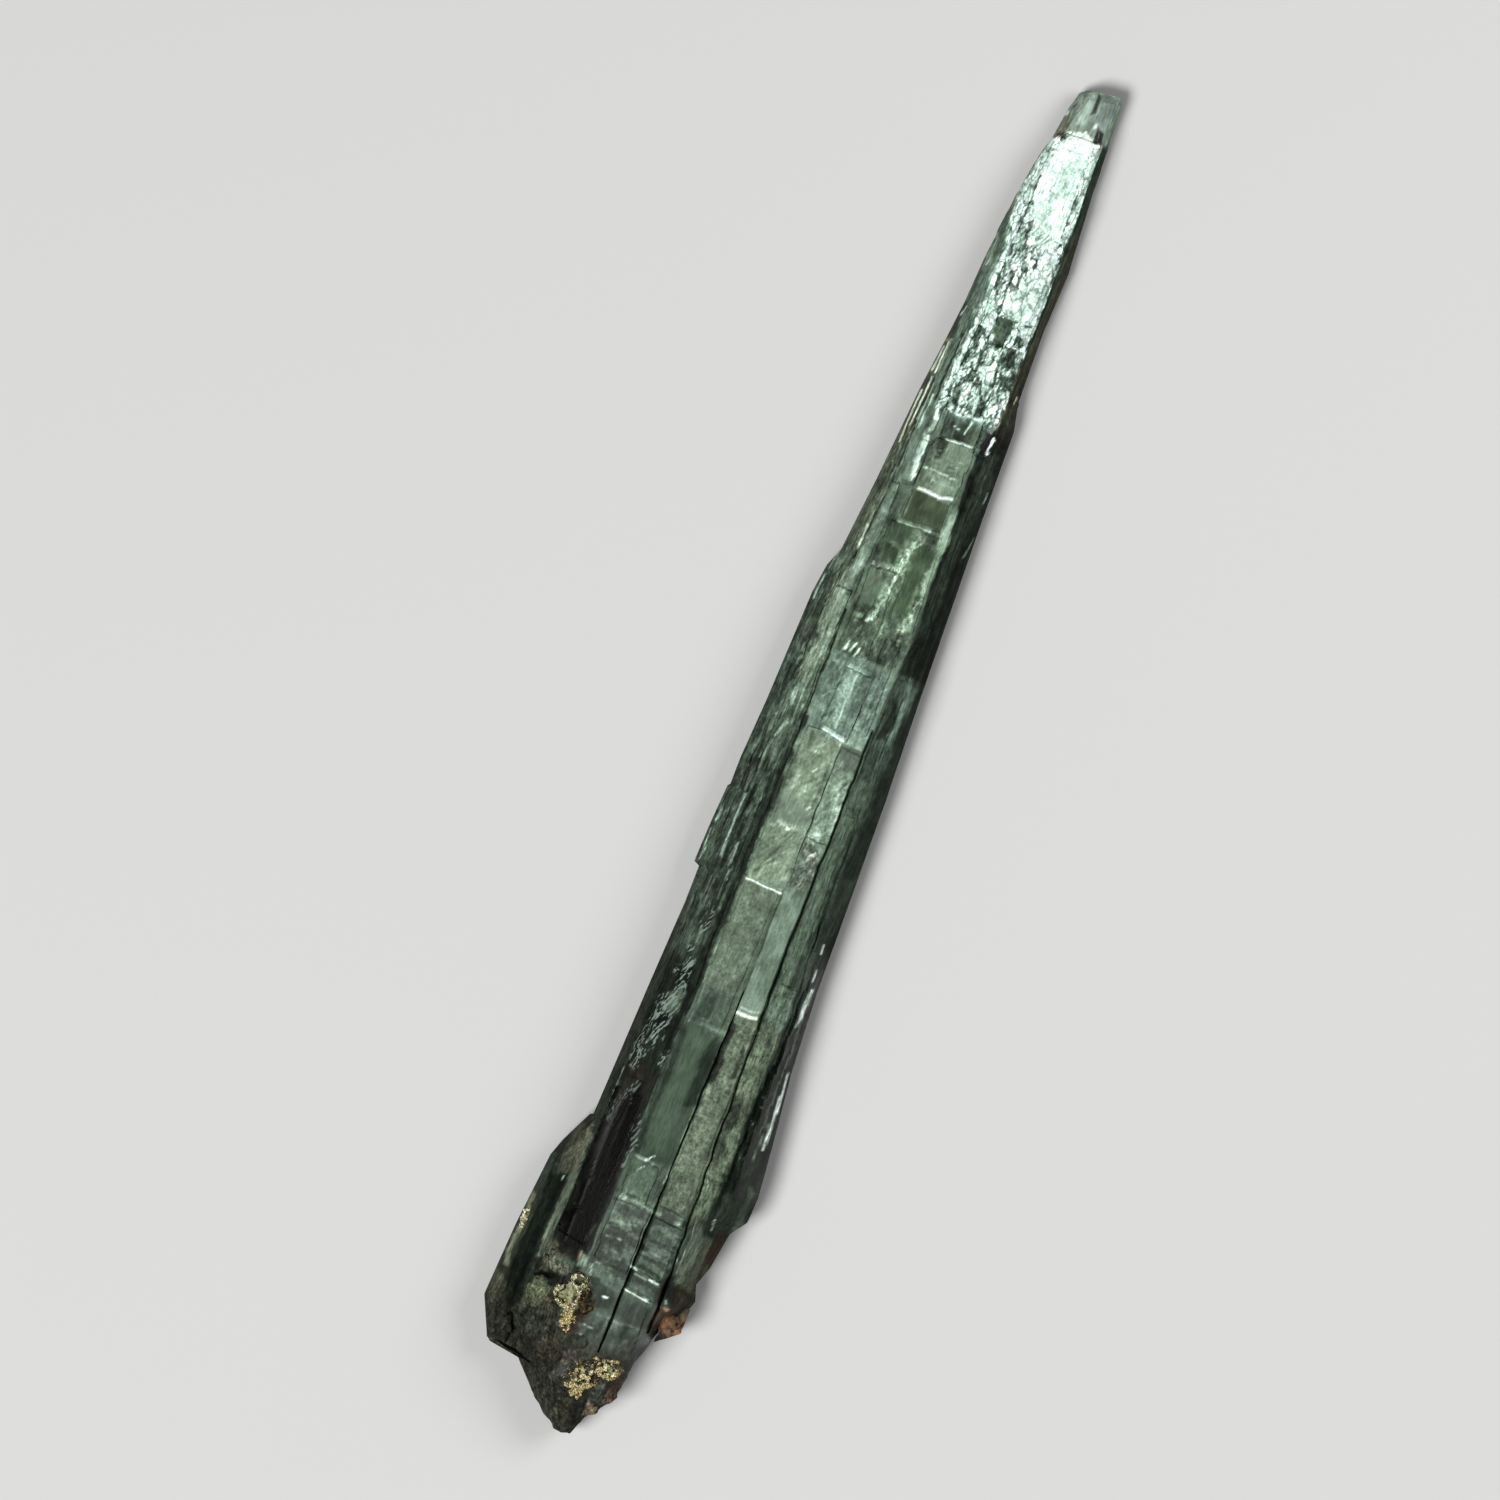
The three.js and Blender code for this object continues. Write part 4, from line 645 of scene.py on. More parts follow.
LINES = [  # paleness, width, places along it
    # dark: the open crack, the grooves along both facets, and cracks in the sheets near the tip
    [0.06, 0.1, [0.56, 9], [0.5, 20], [0.48, 30], [0.6, 46]], [0.26, 0.2, [3.7, 23], [3.6, 30], [3.35, 36]],
    [0.2, 0.12, [3.35, 36], [3.05, 42], [2.97, 50]], [0.26, 0.09, [2.97, 50], [2.85, 66], [2.75, 79]],
    [0.1, 0.15, [-3.75, 52], [-3.85, 60], [-3.9, 74], [-4.1, 84]],
    [0.16, 0.12, [-5.4, 88], [-4.85, 92], [-4.5, 98], [-4.5, 104]],
    [0.12, 0.16, [-2.3, 124], [-2.25, 127], [-2.2, 130]], [0.3, 0.14, [1.8, 125], [1.78, 130]],
    [0.25, 0.14, [2.8, 117], [2.75, 124], [2.6, 129]],
    [0.25, 0.1, [-2, 109.5], [-1.5, 110.4], [-1.1, 111], [-0.7, 111.6]],
    [0.3, 0.09, [-1.6, 109.3], [-1.2, 110], [-1, 110.8]], [0.2, 0.1, [0.9, 75], [0.85, 79.5]],
    # streaks that run with the growth, most of them pale, and painted glints: thin highlights painted near
    # white, as along the right edge
    [0.95, 0.16, [-6.3, 57.5], [-6.35, 64]], [0.9, 0.14, [-5.2, 57], [-5.2, 59.2]],
    [0.85, 0.3, [-5.7, 70.2], [-5.2, 71.8]], [1.05, 0.11, [-0.7, 73], [-0.72, 79.6]],
    [1.1, 0.22, [-5.15, 90], [-5.05, 92.4]], [1.15, 0.24, [-2.9, 98], [-2.8, 102.4]],
    [0.95, 0.14, [-3.05, 98.4], [-3.1, 101]], [1.05, 0.1, [-4.4, 103], [-4.35, 107.5]],
    [0.95, 0.09, [-4.35, 108], [-4.3, 112]], [1.25, 0.34, [6.62, 44.8], [6.7, 48.6]],
    [1.25, 0.28, [8.05, 32.6], [7.75, 38.6]], [1.2, 0.16, [7.65, 38.6], [7.6, 40.4]],
    [1.2, 0.16, [6.45, 49.4], [6.4, 50.6]], [0.8, 0.12, [7.5, 31], [7.6, 35]],
    [1.25, 0.26, [6.2, 52.3], [6.2, 53.1]], [0.16, 0.12, [4.3, 78], [4.35, 72], [5.2, 67.2]],
    [0.9, 0.14, [4.4, 98.4], [4.4, 99.6]], [0.8, 0.12, [4.6, 93], [4.8, 95]],
    [0.12, 0.34, [2.2, 102.6], [3.3, 102.2]], [1.3, 0.34, [2.9, 103], [3.1, 104.6]],
    [0.7, 0.2, [2.4, 104.4], [2.7, 105.6]], [1.1, 0.14, [-4.35, 114.6], [-4.15, 115.6]],
    [1, 0.12, [-3.85, 120], [-3.65, 121.2]], [0.9, 0.12, [-4.75, 111.9], [-4.2, 112.1]],
    [1.15, 0.36, [-2.95, 104.5], [-2.85, 110], [-2.75, 116.8]], [1.25, 0.2, [-4.6, 108.6], [-4.45, 111.8]],
    [1.2, 0.2, [-4.95, 103], [-4.7, 108]], [1.1, 0.18, [-5.35, 101], [-5.1, 106.5]],
    [1.1, 0.16, [-4.95, 108.6], [-4.75, 111.2]], [0.22, 0.14, [-4.7, 103], [-4.45, 108]],
    [0.24, 0.12, [-5.15, 101.5], [-4.9, 107]], [1.1, 0.18, [-4.1, 103], [-4, 106.5]],
    [1.2, 0.12, [0.3, 104], [0.45, 105.4]], [1.1, 0.14, [-0.9, 104.3], [-0.3, 104.2]],
    [0.1, 0.5, [2.4, 103.2], [2.5, 104.8]], [1, 0.14, [3.5, 108.4], [3.62, 109.2]],
    [0.2, 0.2, [-3.6, 106], [-3.4, 113]], [0.95, 0.1, [0.34, 26], [0.44, 29]],
    [0.85, 0.1, [0.36, 30.4], [0.42, 34]], [0.85, 0.09, [-7.4, 30], [-7.4, 31]],
    [0.8, 0.09, [-7.4, 33.2], [-7.38, 35]], [0.95, 0.12, [-8.1, 56.3], [-8.2, 59.5]],
    [0.8, 0.1, [-8, 60.5], [-8, 62]], [1, 0.16, [-7.35, 84], [-7.2, 86.6]],
    [0.9, 0.12, [-7, 87], [-6.7, 89]], [0.9, 0.1, [-3.4, 45.6], [-3.38, 47.2]],
    [0.9, 0.1, [-3.4, 48.6], [-3.36, 50]], [0.9, 0.12, [-3.1, 16.3], [-2.9, 15.2]],
    # veins, chips and cracks that cross it, pale and dark, and painted glints on the ledges, painted near
    # white as highlights
    [1.2, 0.16, [0.6, 15.3], [2.2, 15], [3.7, 14.8]], [0.9, 0.1, [-1.7, 10.5], [-0.8, 10.6]],
    [1.25, 0.2, [-1, 13.75], [-0.5, 13.75]], [1.15, 0.16, [-2.1, 27.4], [-1.5, 28.1]],
    [1, 0.09, [-2.6, 26.2], [-1.9, 27]], [1.25, 0.2, [0.5, 17.4], [1.1, 17.35]],
    [1.2, 0.18, [2.6, 16.9], [3.7, 16.8]], [1, 0.12, [-3.1, 23.2], [-2.6, 23.2]],
    [0.62, 0.08, [-3.2, 41.4], [-3.15, 45.4], [-1.3, 45.5]],
    [0.55, 0.08, [-2.9, 42.2], [-1.4, 42.2], [-1.35, 45]],
    [0.95, 0.1, [-3.2, 61.9], [-2.2, 62.2], [-1.2, 62.3]], [1.2, 0.22, [-1.4, 62.2], [-1.2, 62.2]],
    [1.2, 0.2, [0.7, 62.6], [2, 62.6]], [1.2, 0.4, [1.75, 60.75], [1.9, 60.85]],
    [0.44, 0.22, [-2.7, 57.3], [-1.5, 60.2]],
    [0.84, 0.18, [-2.3, 57], [-1.9, 58.6], [-1.2, 59.8], [0.3, 60.6]], [1, 0.16, [-0.4, 64.7], [-0.05, 65]],
    [0.9, 0.2, [-1.2, 66.2], [-0.7, 66.4]], [1, 0.16, [-1.15, 68.3], [-0.95, 68.5]],
    [1, 0.16, [-1.8, 70], [-1.6, 70.2]], [0.9, 0.16, [2.6, 63.2], [2.65, 67.6]],
    [0.4, 0.18, [1.6, 66.8], [2.3, 68.6]], [0.84, 0.2, [1.9, 66.8], [2.5, 68.4]],
    [0.8, 0.14, [0.7, 69.6], [1.1, 69.5], [1.2, 70.2]], [0.8, 0.4, [1, 64.9], [1.2, 65.1]],
    [0.8, 0.3, [0.9, 63.2], [1.9, 63.4]], [1.25, 0.26, [-2.7, 80.3], [-2.4, 81.3]],
    [1.25, 0.24, [-2.1, 80.3], [-1.85, 81.3]], [1.2, 0.22, [-1.6, 80.1], [-1.4, 80.9]],
    [0.34, 0.7, [-2.6, 82.2], [-1.9, 83.2]], [0.9, 0.14, [-1.6, 78.7], [-0.4, 78.8]],
    [1.1, 0.42, [-1.7, 83.9], [-1.5, 84.2]],
    [0.92, 0.24, [-1.5, 84.2], [-1, 86.2], [-0.8, 88], [-0.5, 90], [-0.2, 92.5]],
    [0.95, 0.16, [-0.9, 89.2], [-0.6, 91.2], [0.4, 92.6]],
    [0.9, 0.14, [-2.8, 88.8], [-1.7, 89], [-0.6, 89.5]], [0.9, 0.12, [1.4, 84.4], [1.9, 85.6]],
    [0.9, 0.12, [2, 86.4], [2.3, 87.6]], [1, 0.12, [-2.2, 99.6], [1.3, 99.5]],
    [0.8, 0.09, [-0.2, 100.7], [1.3, 100.6]], [0.85, 0.07, [-2.1, 101.2], [-1, 101.2]],
    [0.82, 0.07, [-0.9, 98.7], [1.3, 98.8]],
    [0.1, 0.16, [-3.3, 19], [-2.2, 18.6], [-1.2, 19.1], [-0.3, 18.8]],
    [0.12, 0.14, [-3.2, 20.6], [-1.8, 20.2], [-0.4, 20.6]],
    [0.12, 0.14, [0.8, 20.3], [2, 20.6], [3.8, 20.1]],
    [0.12, 0.14, [-2.9, 17.6], [-1.6, 17.2], [-0.4, 17.5]],
    [0.14, 0.13, [0.8, 18.9], [2.2, 18.7], [3.6, 18.9]], [0.12, 0.13, [-3.5, 23], [0.1, 23]],
    [0.12, 0.13, [0.7, 23], [3.7, 22.8]], [0.75, 0.12, [-3, 19.4], [-1.4, 19.5]],
    [0.78, 0.1, [-2.9, 16.6], [-1.2, 16.5]], [0.74, 0.1, [1, 19.3], [3.4, 19.4]],
    [0.74, 0.12, [1, 16.9], [3.8, 16.7]], [0.72, 0.1, [-3, 21], [-0.6, 21.2]],
    [1.15, 0.28, [1.1, 110.6], [1.8, 111.3], [2.5, 111.5]],
    [1, 0.1, [1.1, 113.5], [2.3, 113.5], [2.3, 115], [1.1, 115]], [0.9, 0.16, [6.3, 23.5], [6.25, 24.6]],
    [0.9, 0.2, [4.75, 15.6], [4.9, 15.3]], [0.9, 0.2, [4.85, 14.9], [5.3, 14.7]],
    [0.95, 0.16, [-8.95, 22.6], [-8.85, 23]], [0.42, 0.12, [-6.75, 24.5], [-6.5, 24.9], [-6.55, 25.5]],
    [0.34, 0.14, [-6.3, 23.2], [-6.2, 23.9]], [0.36, 0.12, [-6.9, 20.9], [-6.6, 20.8]],
    [0.3, 0.12, [-6.1, 20.4], [-5.9, 20.6]], [0.3, 0.3, [-4.6, 18.2], [-4.3, 19.8]],
]
STEEP = 4.2  # beyond this far from the middle the facets are steep, and lines on them run true
for value, width, *points in LINES:
    wobble = 0.1 if abs(points[0][0]) > STEEP else 0.7
    shade(value, 0.92 * line(points, width, ragged=0.05 + wobble * width))

# painted glints: each ledge's lip painted near white, as a highlight
LEDGE_GLINTS = [  # distance from the foot, left and right end, thickness, strength
    [17.55, -2.8, 3.6, 0.1, 0.25], [23.2, -3.2, 3.4, 0.12, 0.35], [27.2, -3.2, -0.4, 0.12, 0.5],
    [41.6, -3.4, 0.5, 0.08, 0.3], [44, 0.5, 2.9, 0.16, 0.95], [44.55, 0.8, 2.9, 0.05, 0.6],
    [56.3, -3.4, 0.6, 0.1, 0.95], [56.85, -3.5, -1.2, 0.05, 0.6], [62.4, -2.6, 2, 0.05, 0.6],
    [72.1, -2, 0.6, 0.15, 0.95], [72.1, 0.7, 2.6, 0.06, 0.5], [78.9, -3.6, 0.4, 0.05, 0.5],
    [84, -3.2, 0.4, 0.06, 0.5], [89.2, -3, -0.4, 0.05, 0.5], [93.9, -2.6, 1.3, 0.1, 0.6],
    [97.55, -2.2, 1.5, 0.15, 1], [102.95, -1.3, 1.6, 0.12, 0.9], [105.65, -1.5, 1.3, 0.16, 1],
    [112.9, -1, 1.2, 0.08, 0.7],
]
broken_up = rise(rough(X / 0.5, Y / 3, 81), -0.45, 0.1)
torn_x = X + 0.2 * tear_x
for y, left, right, thickness, strength in LEDGE_GLINTS:
    reach = rise(torn_x, left - 0.1, left + 0.2) * (1 - rise(torn_x, right - 0.2, right + 0.1))
    whole = np.clip(1.7 * strength - 0.7, 0, 1)
    lip = np.exp(-((row - y) / thickness) ** 2)
    shade(1.25, strength * reach * (broken_up + (1 - broken_up) * whole) * lip)
shade(stroke_paleness, 0.8 * strokes * (0.75 + 0.5 * grain))
shade(0.20, (0.7 - 0.3 * rise(Y, 114, 122)) * silver * seam * (1 - white) * (1 - windows))
shade(0.46 + 0.10 * blotch, windows)
shade(1.25, window_frame)

# -- from paleness to colour: black, bottle green, moss, sage, pale sage, silver --
GREENS = np.array([[0.0, 0.0045, 0.0072, 0.0042], [0.25, 0.033, 0.046, 0.033], [0.5, 0.110, 0.153, 0.110],
                   [0.75, 0.225, 0.300, 0.228], [1.0, 0.46, 0.59, 0.50], [1.25, 0.93, 0.985, 0.97]])
tint = np.dstack([np.interp(paleness, GREENS[:, 0], GREENS[:, c]) for c in (1, 2, 3)])


def stain(hue, area):
    """Turns the colour towards a hue and leaves it as light as it was."""
    lightness = tint @ np.array([0.3, 0.6, 0.1])
    stained = np.array(hue) / np.dot(hue, [0.3, 0.6, 0.1]) * lightness[..., None]
    tint[:] += (stained - tint) * np.clip(area, 0, 1)[..., None]


def stain_blocks(stains):
    """Stains a block for each row of a table."""
    for hue, strength, *place in stains:
        stain(hue, strength * block(*place))


OLIVE, MINT, SLATE_BLUE, MAUVE = (0.85, 1.0, 0.62), (0.70, 1.0, 0.84), (0.80, 1.0, 0.92), (1.0, 0.86, 0.96)
BROWN, RED_BROWN, TAN, STRAW = (1.0, 0.76, 0.56), (1.0, 0.42, 0.25), (1.0, 0.74, 0.48), (1.0, 0.98, 0.62)
STAINS = [  # hue, strength, left, right, low, high
    [OLIVE, 0.2, -3.4, 0.5, 45.5, 56.3], [SLATE_BLUE, 0.15, 0.6, 2.9, 44, 56.5],
    [OLIVE, 0.4, 0.6, 5.6, 24, 44], [MINT, 0.45, -3.8, 2.6, 72, 80], [STRAW, 0.12, -6.4, -4.6, 76, 90],
    [STRAW, 0.3, -6.4, -4.6, 90, 104], [MINT, 0.15, -4.9, -3.4, 86, 104], [MINT, 0.5, 4.2, 5.1, 70, 79.8],
    [(0.64, 1, 0.58), 0.8, -3.2, -0.8, 89.7, 93.6], [(0.76, 1, 0.6), 0.8, -2.3, 1.5, 94.2, 97.1],
    [(0.6, 1, 0.52), 0.9, 0, 1.7, 85.6, 92.2], [MAUVE, 0.12, 0.8, 2.9, 56.8, 61],
    [MAUVE, 0.2, 0.7, 2.7, 69.4, 71.6], [OLIVE, 0.25, -3.2, 0.4, 57, 72],
    [SLATE_BLUE, 0.25, -3.1, 0.4, 62.7, 65.2], [OLIVE, 0.1, -2.4, 1.6, 97.8, 103],
    [(0.7, 1, 0.66), 0.45, -3.8, 2.6, 80.4, 93.8], [MINT, 0.3, -4.4, -3.2, 103, 121],
    [STRAW, 0.3, -5.6, -4.4, 101, 113], [OLIVE, 0.5, 2.9, 4.8, 104, 126], [BROWN, 0.35, 3, 4.8, 104, 126],
    # painted iridescent sheen: blue and mauve around the painted glint at the right ridge
    [SLATE_BLUE, 0.7, 2.1, 3.4, 102.3, 105.5], [MAUVE, 0.4, 2.1, 3, 103, 105.5],
    [MINT, 0.5, -3.2, 2.6, 105, 134.5], [(0.82, 1, 0.86), 0.6, -2.6, 2.4, 134, 140],
    [TAN, 0.3, -2.7, -1.6, 133.8, 137], [SLATE_BLUE, 0.6, 0.8, 2.2, 136, 140],
    [BROWN, 0.2, -8.6, -7.2, 16, 52], [BROWN, 0.6, -7.2, -4.2, 16, 36], [BROWN, 0.4, -9.7, -8, 23.4, 28.6],
    [STRAW, 0.6, -11.9, -10.4, 8.5, 21], [MAUVE, 0.5, -10.6, -10.2, 21.2, 22],
]
stain_blocks(STAINS)
stain((0.95, 1.0, 0.78), 0.8 * crumbs * crumbly)
stain(BROWN, 0.4 * broken)
stain(RED_BROWN, broken * rise(cloud(X / 1.4, Y / 1.2, 71), 0.2, 0.8) * 0.2)
FOOT_STAINS = [
    [OLIVE, 0.9, -8.1, -6, 10.1, 13.1], [MAUVE, 0.4, -2.7, -1.2, 5, 8], [SLATE_BLUE, 0.5, 1.4, 3, 4, 6],
    [BROWN, 0.6, 2.4, 4, 1, 8], [RED_BROWN, 0.35, 3, 4, 4, 8.2], [TAN, 0.9, 1.4, 2.4, 2.3, 3.6],
    [(1, 0.95, 0.5), 0.95, 5.2, 7.6, 14.3, 17.2], [TAN, 0.6, 5.7, 6.3, 14.5, 16.9],
    [RED_BROWN, 0.5, 4.2, 5.8, 12.4, 15], [TAN, 0.4, 6, 7.4, 17, 22.2],
    [RED_BROWN, 0.7, 7, 7.9, 20.2, 23.6], [OLIVE, 0.9, 7.8, 8.3, 22.4, 23.6], [BROWN, 0.15, 4.7, 6, 16, 23],
]
stain_blocks(FOOT_STAINS)
stain((0.72, 1.0, 0.74), windows)

clear = np.full_like(X, 0.25)
CLEARNESS = [  # how clear each area is; a later one lies over the earlier ones
    [0.2, on_left * (1 - rise(Y, 44, 52))], [0.75, left_window], [0.45, smooth_front], [0.15, on_right],
    [0.05, silver], [0.45, windows], [0.1, broken], [0.5, block(-2.3, 1.5, 94.1, 97.2, 0.1)],
]
for clearness, area in CLEARNESS:
    clear = clear + (clearness - clear) * area
clear *= 1 - 0.8 * rise(paleness, 0.55, 0.9)
pearl = silver * (1 - windows) * (0.25 + 0.75 * white) * (1 - 0.6 * seam)
tint /= (1 - 0.6 * clear)[..., None]


def lay(name, upper, back):
    """Stores one set of point values on the crystal: the upper side's, then one for back and sides."""
    channels = np.ones((len(corners), 4), np.float32)
    channels[:, :len(back)] = back
    channels[:back_start, :len(back)] = upper.reshape(-1, len(back))
    values = crystal_mesh.color_attributes.new(name, "FLOAT_COLOR", "POINT")
    values.data.foreach_set("color", np.clip(channels, 0, 1).ravel())


# -- the crystal's material: coloured surface, clear inside, with grain, fibres and fine dark veins --
matt = strongest(0.9 * broken, 0.5 * granular, on_left * (1 - 0.9 * left_window), on_right * rise(Y, 48, 56),
                 on_right * rise(X, 4.6, 5.6) * (1 - rise(Y, 26, 28)))
hatching = blocks([[1, -3.2, 0.4, 57, 62], [0.8, -3.2, 0.2, 65, 71.6], [0.7, 0.6, 2.8, 62.6, 69],
                   [0.5, -3.4, 2.6, 80, 84], [0.35, -3.2, 0.3, 45.6, 56.3]])
slits = silver * rise(Y, 116, 120) * (1 - white) + 0.25 * main_sheet * (1 - rise(Y, 129, 132))
fine_grain = 0.2 + 0.26 * granular + 0.1 * flaky + 0.1 * bark + 0.45 * broken + 0.15 * silver
fine_grain *= (1 - 0.75 * smooth_area) * (1 - 0.9 * left_window) * (1 - feathers)
fibres = 0.3 + 0.35 * on_sides + 0.25 * silver * (1 - white) - 0.35 * mint_strip
veins = silver * (1 - windows) * (0.04 + 0.66 * (1 - main_sheet))
chips = 0.12 + 0.10 * flaky + 0.08 * bark + 0.4 * broken + 0.6 * crumbly
chips = chips + 0.35 * silver * (1 - white) * (1 - windows)
chips = np.maximum(chips, 0.2 * block(-2.5, 1.8, 97.5, 103)) * (1 - 0.85 * smooth_area) * (1 - left_window)
chips = np.maximum(chips, 0.25 * block(-3.4, 4.0, 14.8, 24))
chips *= 1 - feathers
lay("tint", tint, (0.04, 0.055, 0.04))
lay("look", np.dstack([clear, pearl, glassy, matt]), (0.5, 0, 0, 0.6))
lay("slivers", np.dstack([feathers, hatching, slits]), (0, 0, 0))
lay("texture", np.dstack([fine_grain, fibres, veins, chips]), (0.3, 0.5, 0, 0.3))


def new_material(name):
    material = bpy.data.materials.new(name)
    material.use_nodes = True
    return material, material.node_tree.nodes


def feed(socket, value):
    """Gives a node's socket a number, a colour, or another node's output."""
    if isinstance(value, bpy.types.NodeSocket):
        socket.id_data.links.new(value, socket)
    else:
        socket.default_value = value


def dress(made, **settings):
    """Feeds a node's sockets, written with _ for each space, and sets its other properties."""
    for key, value in settings.items():
        socket = key.replace("_", " ")
        if socket in made.inputs:
            feed(made.inputs[socket], value)
        else:
            setattr(made, key, value)
    return made


def node(nodes, kind, **settings):
    return dress(nodes.new(kind), **settings)


vivianite, nodes = new_material("vivianite")
place = node(nodes, "ShaderNodeTexCoord").outputs["Object"]


def combine(operation, *values):
    """A maths node on two values, each a number or another node's output."""
    made = node(nodes, "ShaderNodeMath", operation=operation)
    for socket, value in zip(made.inputs, values):
        feed(socket, value)
    return made.outputs[0]


def times(a, b):
    return combine("MULTIPLY", a, b)


def plus(a, b):
    return combine("ADD", a, b)


def swing(value, strength):
    """A noise value's swing to either side of its middle."""
    return times(combine("SUBTRACT", value, 0.5), strength)


def mix(a, b, share, kind, **settings):
    """A blend of two colours, numbers or directions: a where the share is 0, b where it is 1."""
    made = node(nodes, "ShaderNodeMix", data_type=kind, A=a, B=b, Factor=share, **settings)
    return made.outputs["Result"]


def between(value, low, high, start=0.0, end=1.0, ease="SMOOTHSTEP"):
    """A value that goes from start to end while the input goes from low to high."""
    made = node(nodes, "ShaderNodeMapRange", interpolation_type=ease, Value=value,
                From_Min=low, From_Max=high, To_Min=start, To_Max=end)
    return made.outputs[0]


def point_values(name):
    """One set of point values: all four, and the first three apart."""
    found = node(nodes, "ShaderNodeAttribute", attribute_name=name).outputs
    parts = node(nodes, "ShaderNodeSeparateColor", Color=found["Color"])
    return found, parts.outputs


def noise(scale, detail, stretch):
    """Noise through the crystal, drawn out along it where the stretch is small."""
    spread = node(nodes, "ShaderNodeMapping", Scale=stretch, Vector=place).outputs[0]
    return node(nodes, "ShaderNodeTexNoise", Scale=scale, Detail=detail, Roughness=0.6, Vector=spread)


def slivers(scale, lean, length):
    """Noise drawn out along a slanting line, as thin slivers."""
    turned = node(nodes, "ShaderNodeMapping", vector_type="TEXTURE", Rotation=(0, 0, -math.radians(lean)),
                  Scale=(1, length, 1), Vector=place).outputs[0]
    made = node(nodes, "ShaderNodeTexNoise", Scale=scale, Detail=2.0, Roughness=0.5, Vector=turned)
    return made.outputs["Fac"]


tint_out = point_values("tint")[0]["Color"]
look_out, (clear_out, pearl_out, glassy_out) = point_values("look")
_, (feather_out, hatch_out, slit_out) = point_values("slivers")
texture_out, (grain_out, fibre_out, vein_out) = point_values("texture")
speck = noise(3600.0, 3.0, (1, 1, 1)).outputs["Fac"]
fibre = noise(4600.0, 4.0, (1, 0.16, 1)).outputs["Fac"]
chip = noise(2500.0, 2.5, (1, 0.6, 1)).outputs["Fac"]
bend = noise(1100.0, 3.0, (1, 1, 1)).outputs["Color"]

# fine dark veins between the flakes of the silvery sheets
bent = mix(place, bend, 0.0008, "VECTOR")
squash = node(nodes, "ShaderNodeMapping", Scale=(1, 0.55, 1), Vector=bent)
cells = node(nodes, "ShaderNodeTexVoronoi", feature="DISTANCE_TO_EDGE", Scale=1150.0,
             Vector=squash.outputs[0])
vein = times(between(cells.outputs["Distance"], 0.0, 0.15, 1.0, 0.0, "LINEAR"), vein_out)

# the grain and the fibres lighten and darken the colour
specks = times(swing(speck, 5.0), grain_out)
threads = times(swing(fibre, 4.6), fibre_out)
lightness = combine("MAXIMUM", plus(plus(specks, threads), 1.0), 0.25)
lightness = times(lightness, combine("SUBTRACT", 1.0, times(vein, 0.9)))
for start, end, change in ((0.55, 0.62, 1.3), (0.46, 0.40, -0.6)):  # pale chips, then dark gaps
    amount = times(between(chip, start, end, 0.0, change), texture_out["Alpha"])
    lightness = times(lightness, plus(1.0, amount))
hatch_lines = swing(slivers(1500.0, 38, 5.0), 1.6)
lightness = times(lightness, plus(1.0, times(hatch_lines, hatch_out)))
slit_lines = times(between(slivers(2400.0, 10, 4.0), 0.46, 0.38), times(slit_out, 0.7))
lightness = times(lightness, combine("SUBTRACT", 1.0, slit_lines))
colour = mix(tint_out, lightness, 1.0, "RGBA", blend_type="MULTIPLY")
feather_lines = between(slivers(3900.0, 31, 7.5), 0.51, 0.58)
feathered = mix(colour, (0.24, 0.30, 0.26, 1), times(feather_lines, feather_out), "RGBA")
gloss = mix(plus(0.24, times(grain_out, 0.3)), 0.06, glassy_out, "FLOAT")
bumps = plus(times(speck, grain_out), times(fibre, fibre_out))
bumps = combine("SUBTRACT", bumps, vein)
fine_relief = node(nodes, "ShaderNodeBump", Strength=0.5, Distance=0.00007, Height=bumps)
dress(nodes["Principled BSDF"], IOR=1.6, Specular_IOR_Level=0.12, Base_Color=feathered,
      Transmission_Weight=clear_out, Metallic=times(pearl_out, 0.12),
      Roughness=mix(gloss, 0.95, look_out["Alpha"], "FLOAT"), Normal=fine_relief.outputs[0])
inside = node(nodes, "ShaderNodeVolumeAbsorption", Color=(0.28, 0.50, 0.33, 1), Density=430.0)
dress(nodes["Material Output"], Volume=inside.outputs[0])

crystal_mesh.materials.append(vivianite)
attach(crystal, "root")
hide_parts("vivianite_crystal")


# ==== The golden crusts ==========================================================================
# Three patches of tiny pale gold crystals, grown on the crystal: one in the broken pocket low on the
# front, one on the broken foot and a fleck on the side blade. Each is a lumpy bed with sharp grains
# standing in it, seated on the crystal's surface.
BED_STEP = 0.085  # between the bed's corners
BED_SUNK = 0.06  # the bed lies this far into the surface
BED_DEPTH = 0.3  # its underside, below the surface
PALE_GOLD = (0.38, 0.315, 0.145)
STRAW_GREEN = (0.29, 0.31, 0.18)
DARK_GOLD = (0.11, 0.062, 0.022)
CREAM = (0.60, 0.56, 0.38)
UMBER = (0.045, 0.026, 0.012)
OLIVE_PIT = (0.045, 0.045, 0.020)
finished_crystal = BVHTree.FromPolygons([Vector(c) for c in corners], faces)


def seat(x, y):
    """The height of the finished crystal's surface at a place."""
    return finished_crystal.ray_cast(Vector((x, y, ABOVE)), Vector((0, 0, -1)))[0].z


def colour_piece(mesh, name, colours):
    """Stores a colour for each point of a piece."""
    channels = np.ones((len(mesh.vertices), 4), np.float32)
    channels[:, :3] = colours
    mesh.color_attributes.new(name, "FLOAT_COLOR", "POINT").data.foreach_set("color", channels.ravel())


def tinge(colours, hue, amount):
    """Turns colours towards a hue, by an amount from 0 to 1 at each place."""
    colours += (np.array(hue) - colours) * np.clip(amount, 0, 1)[..., None]


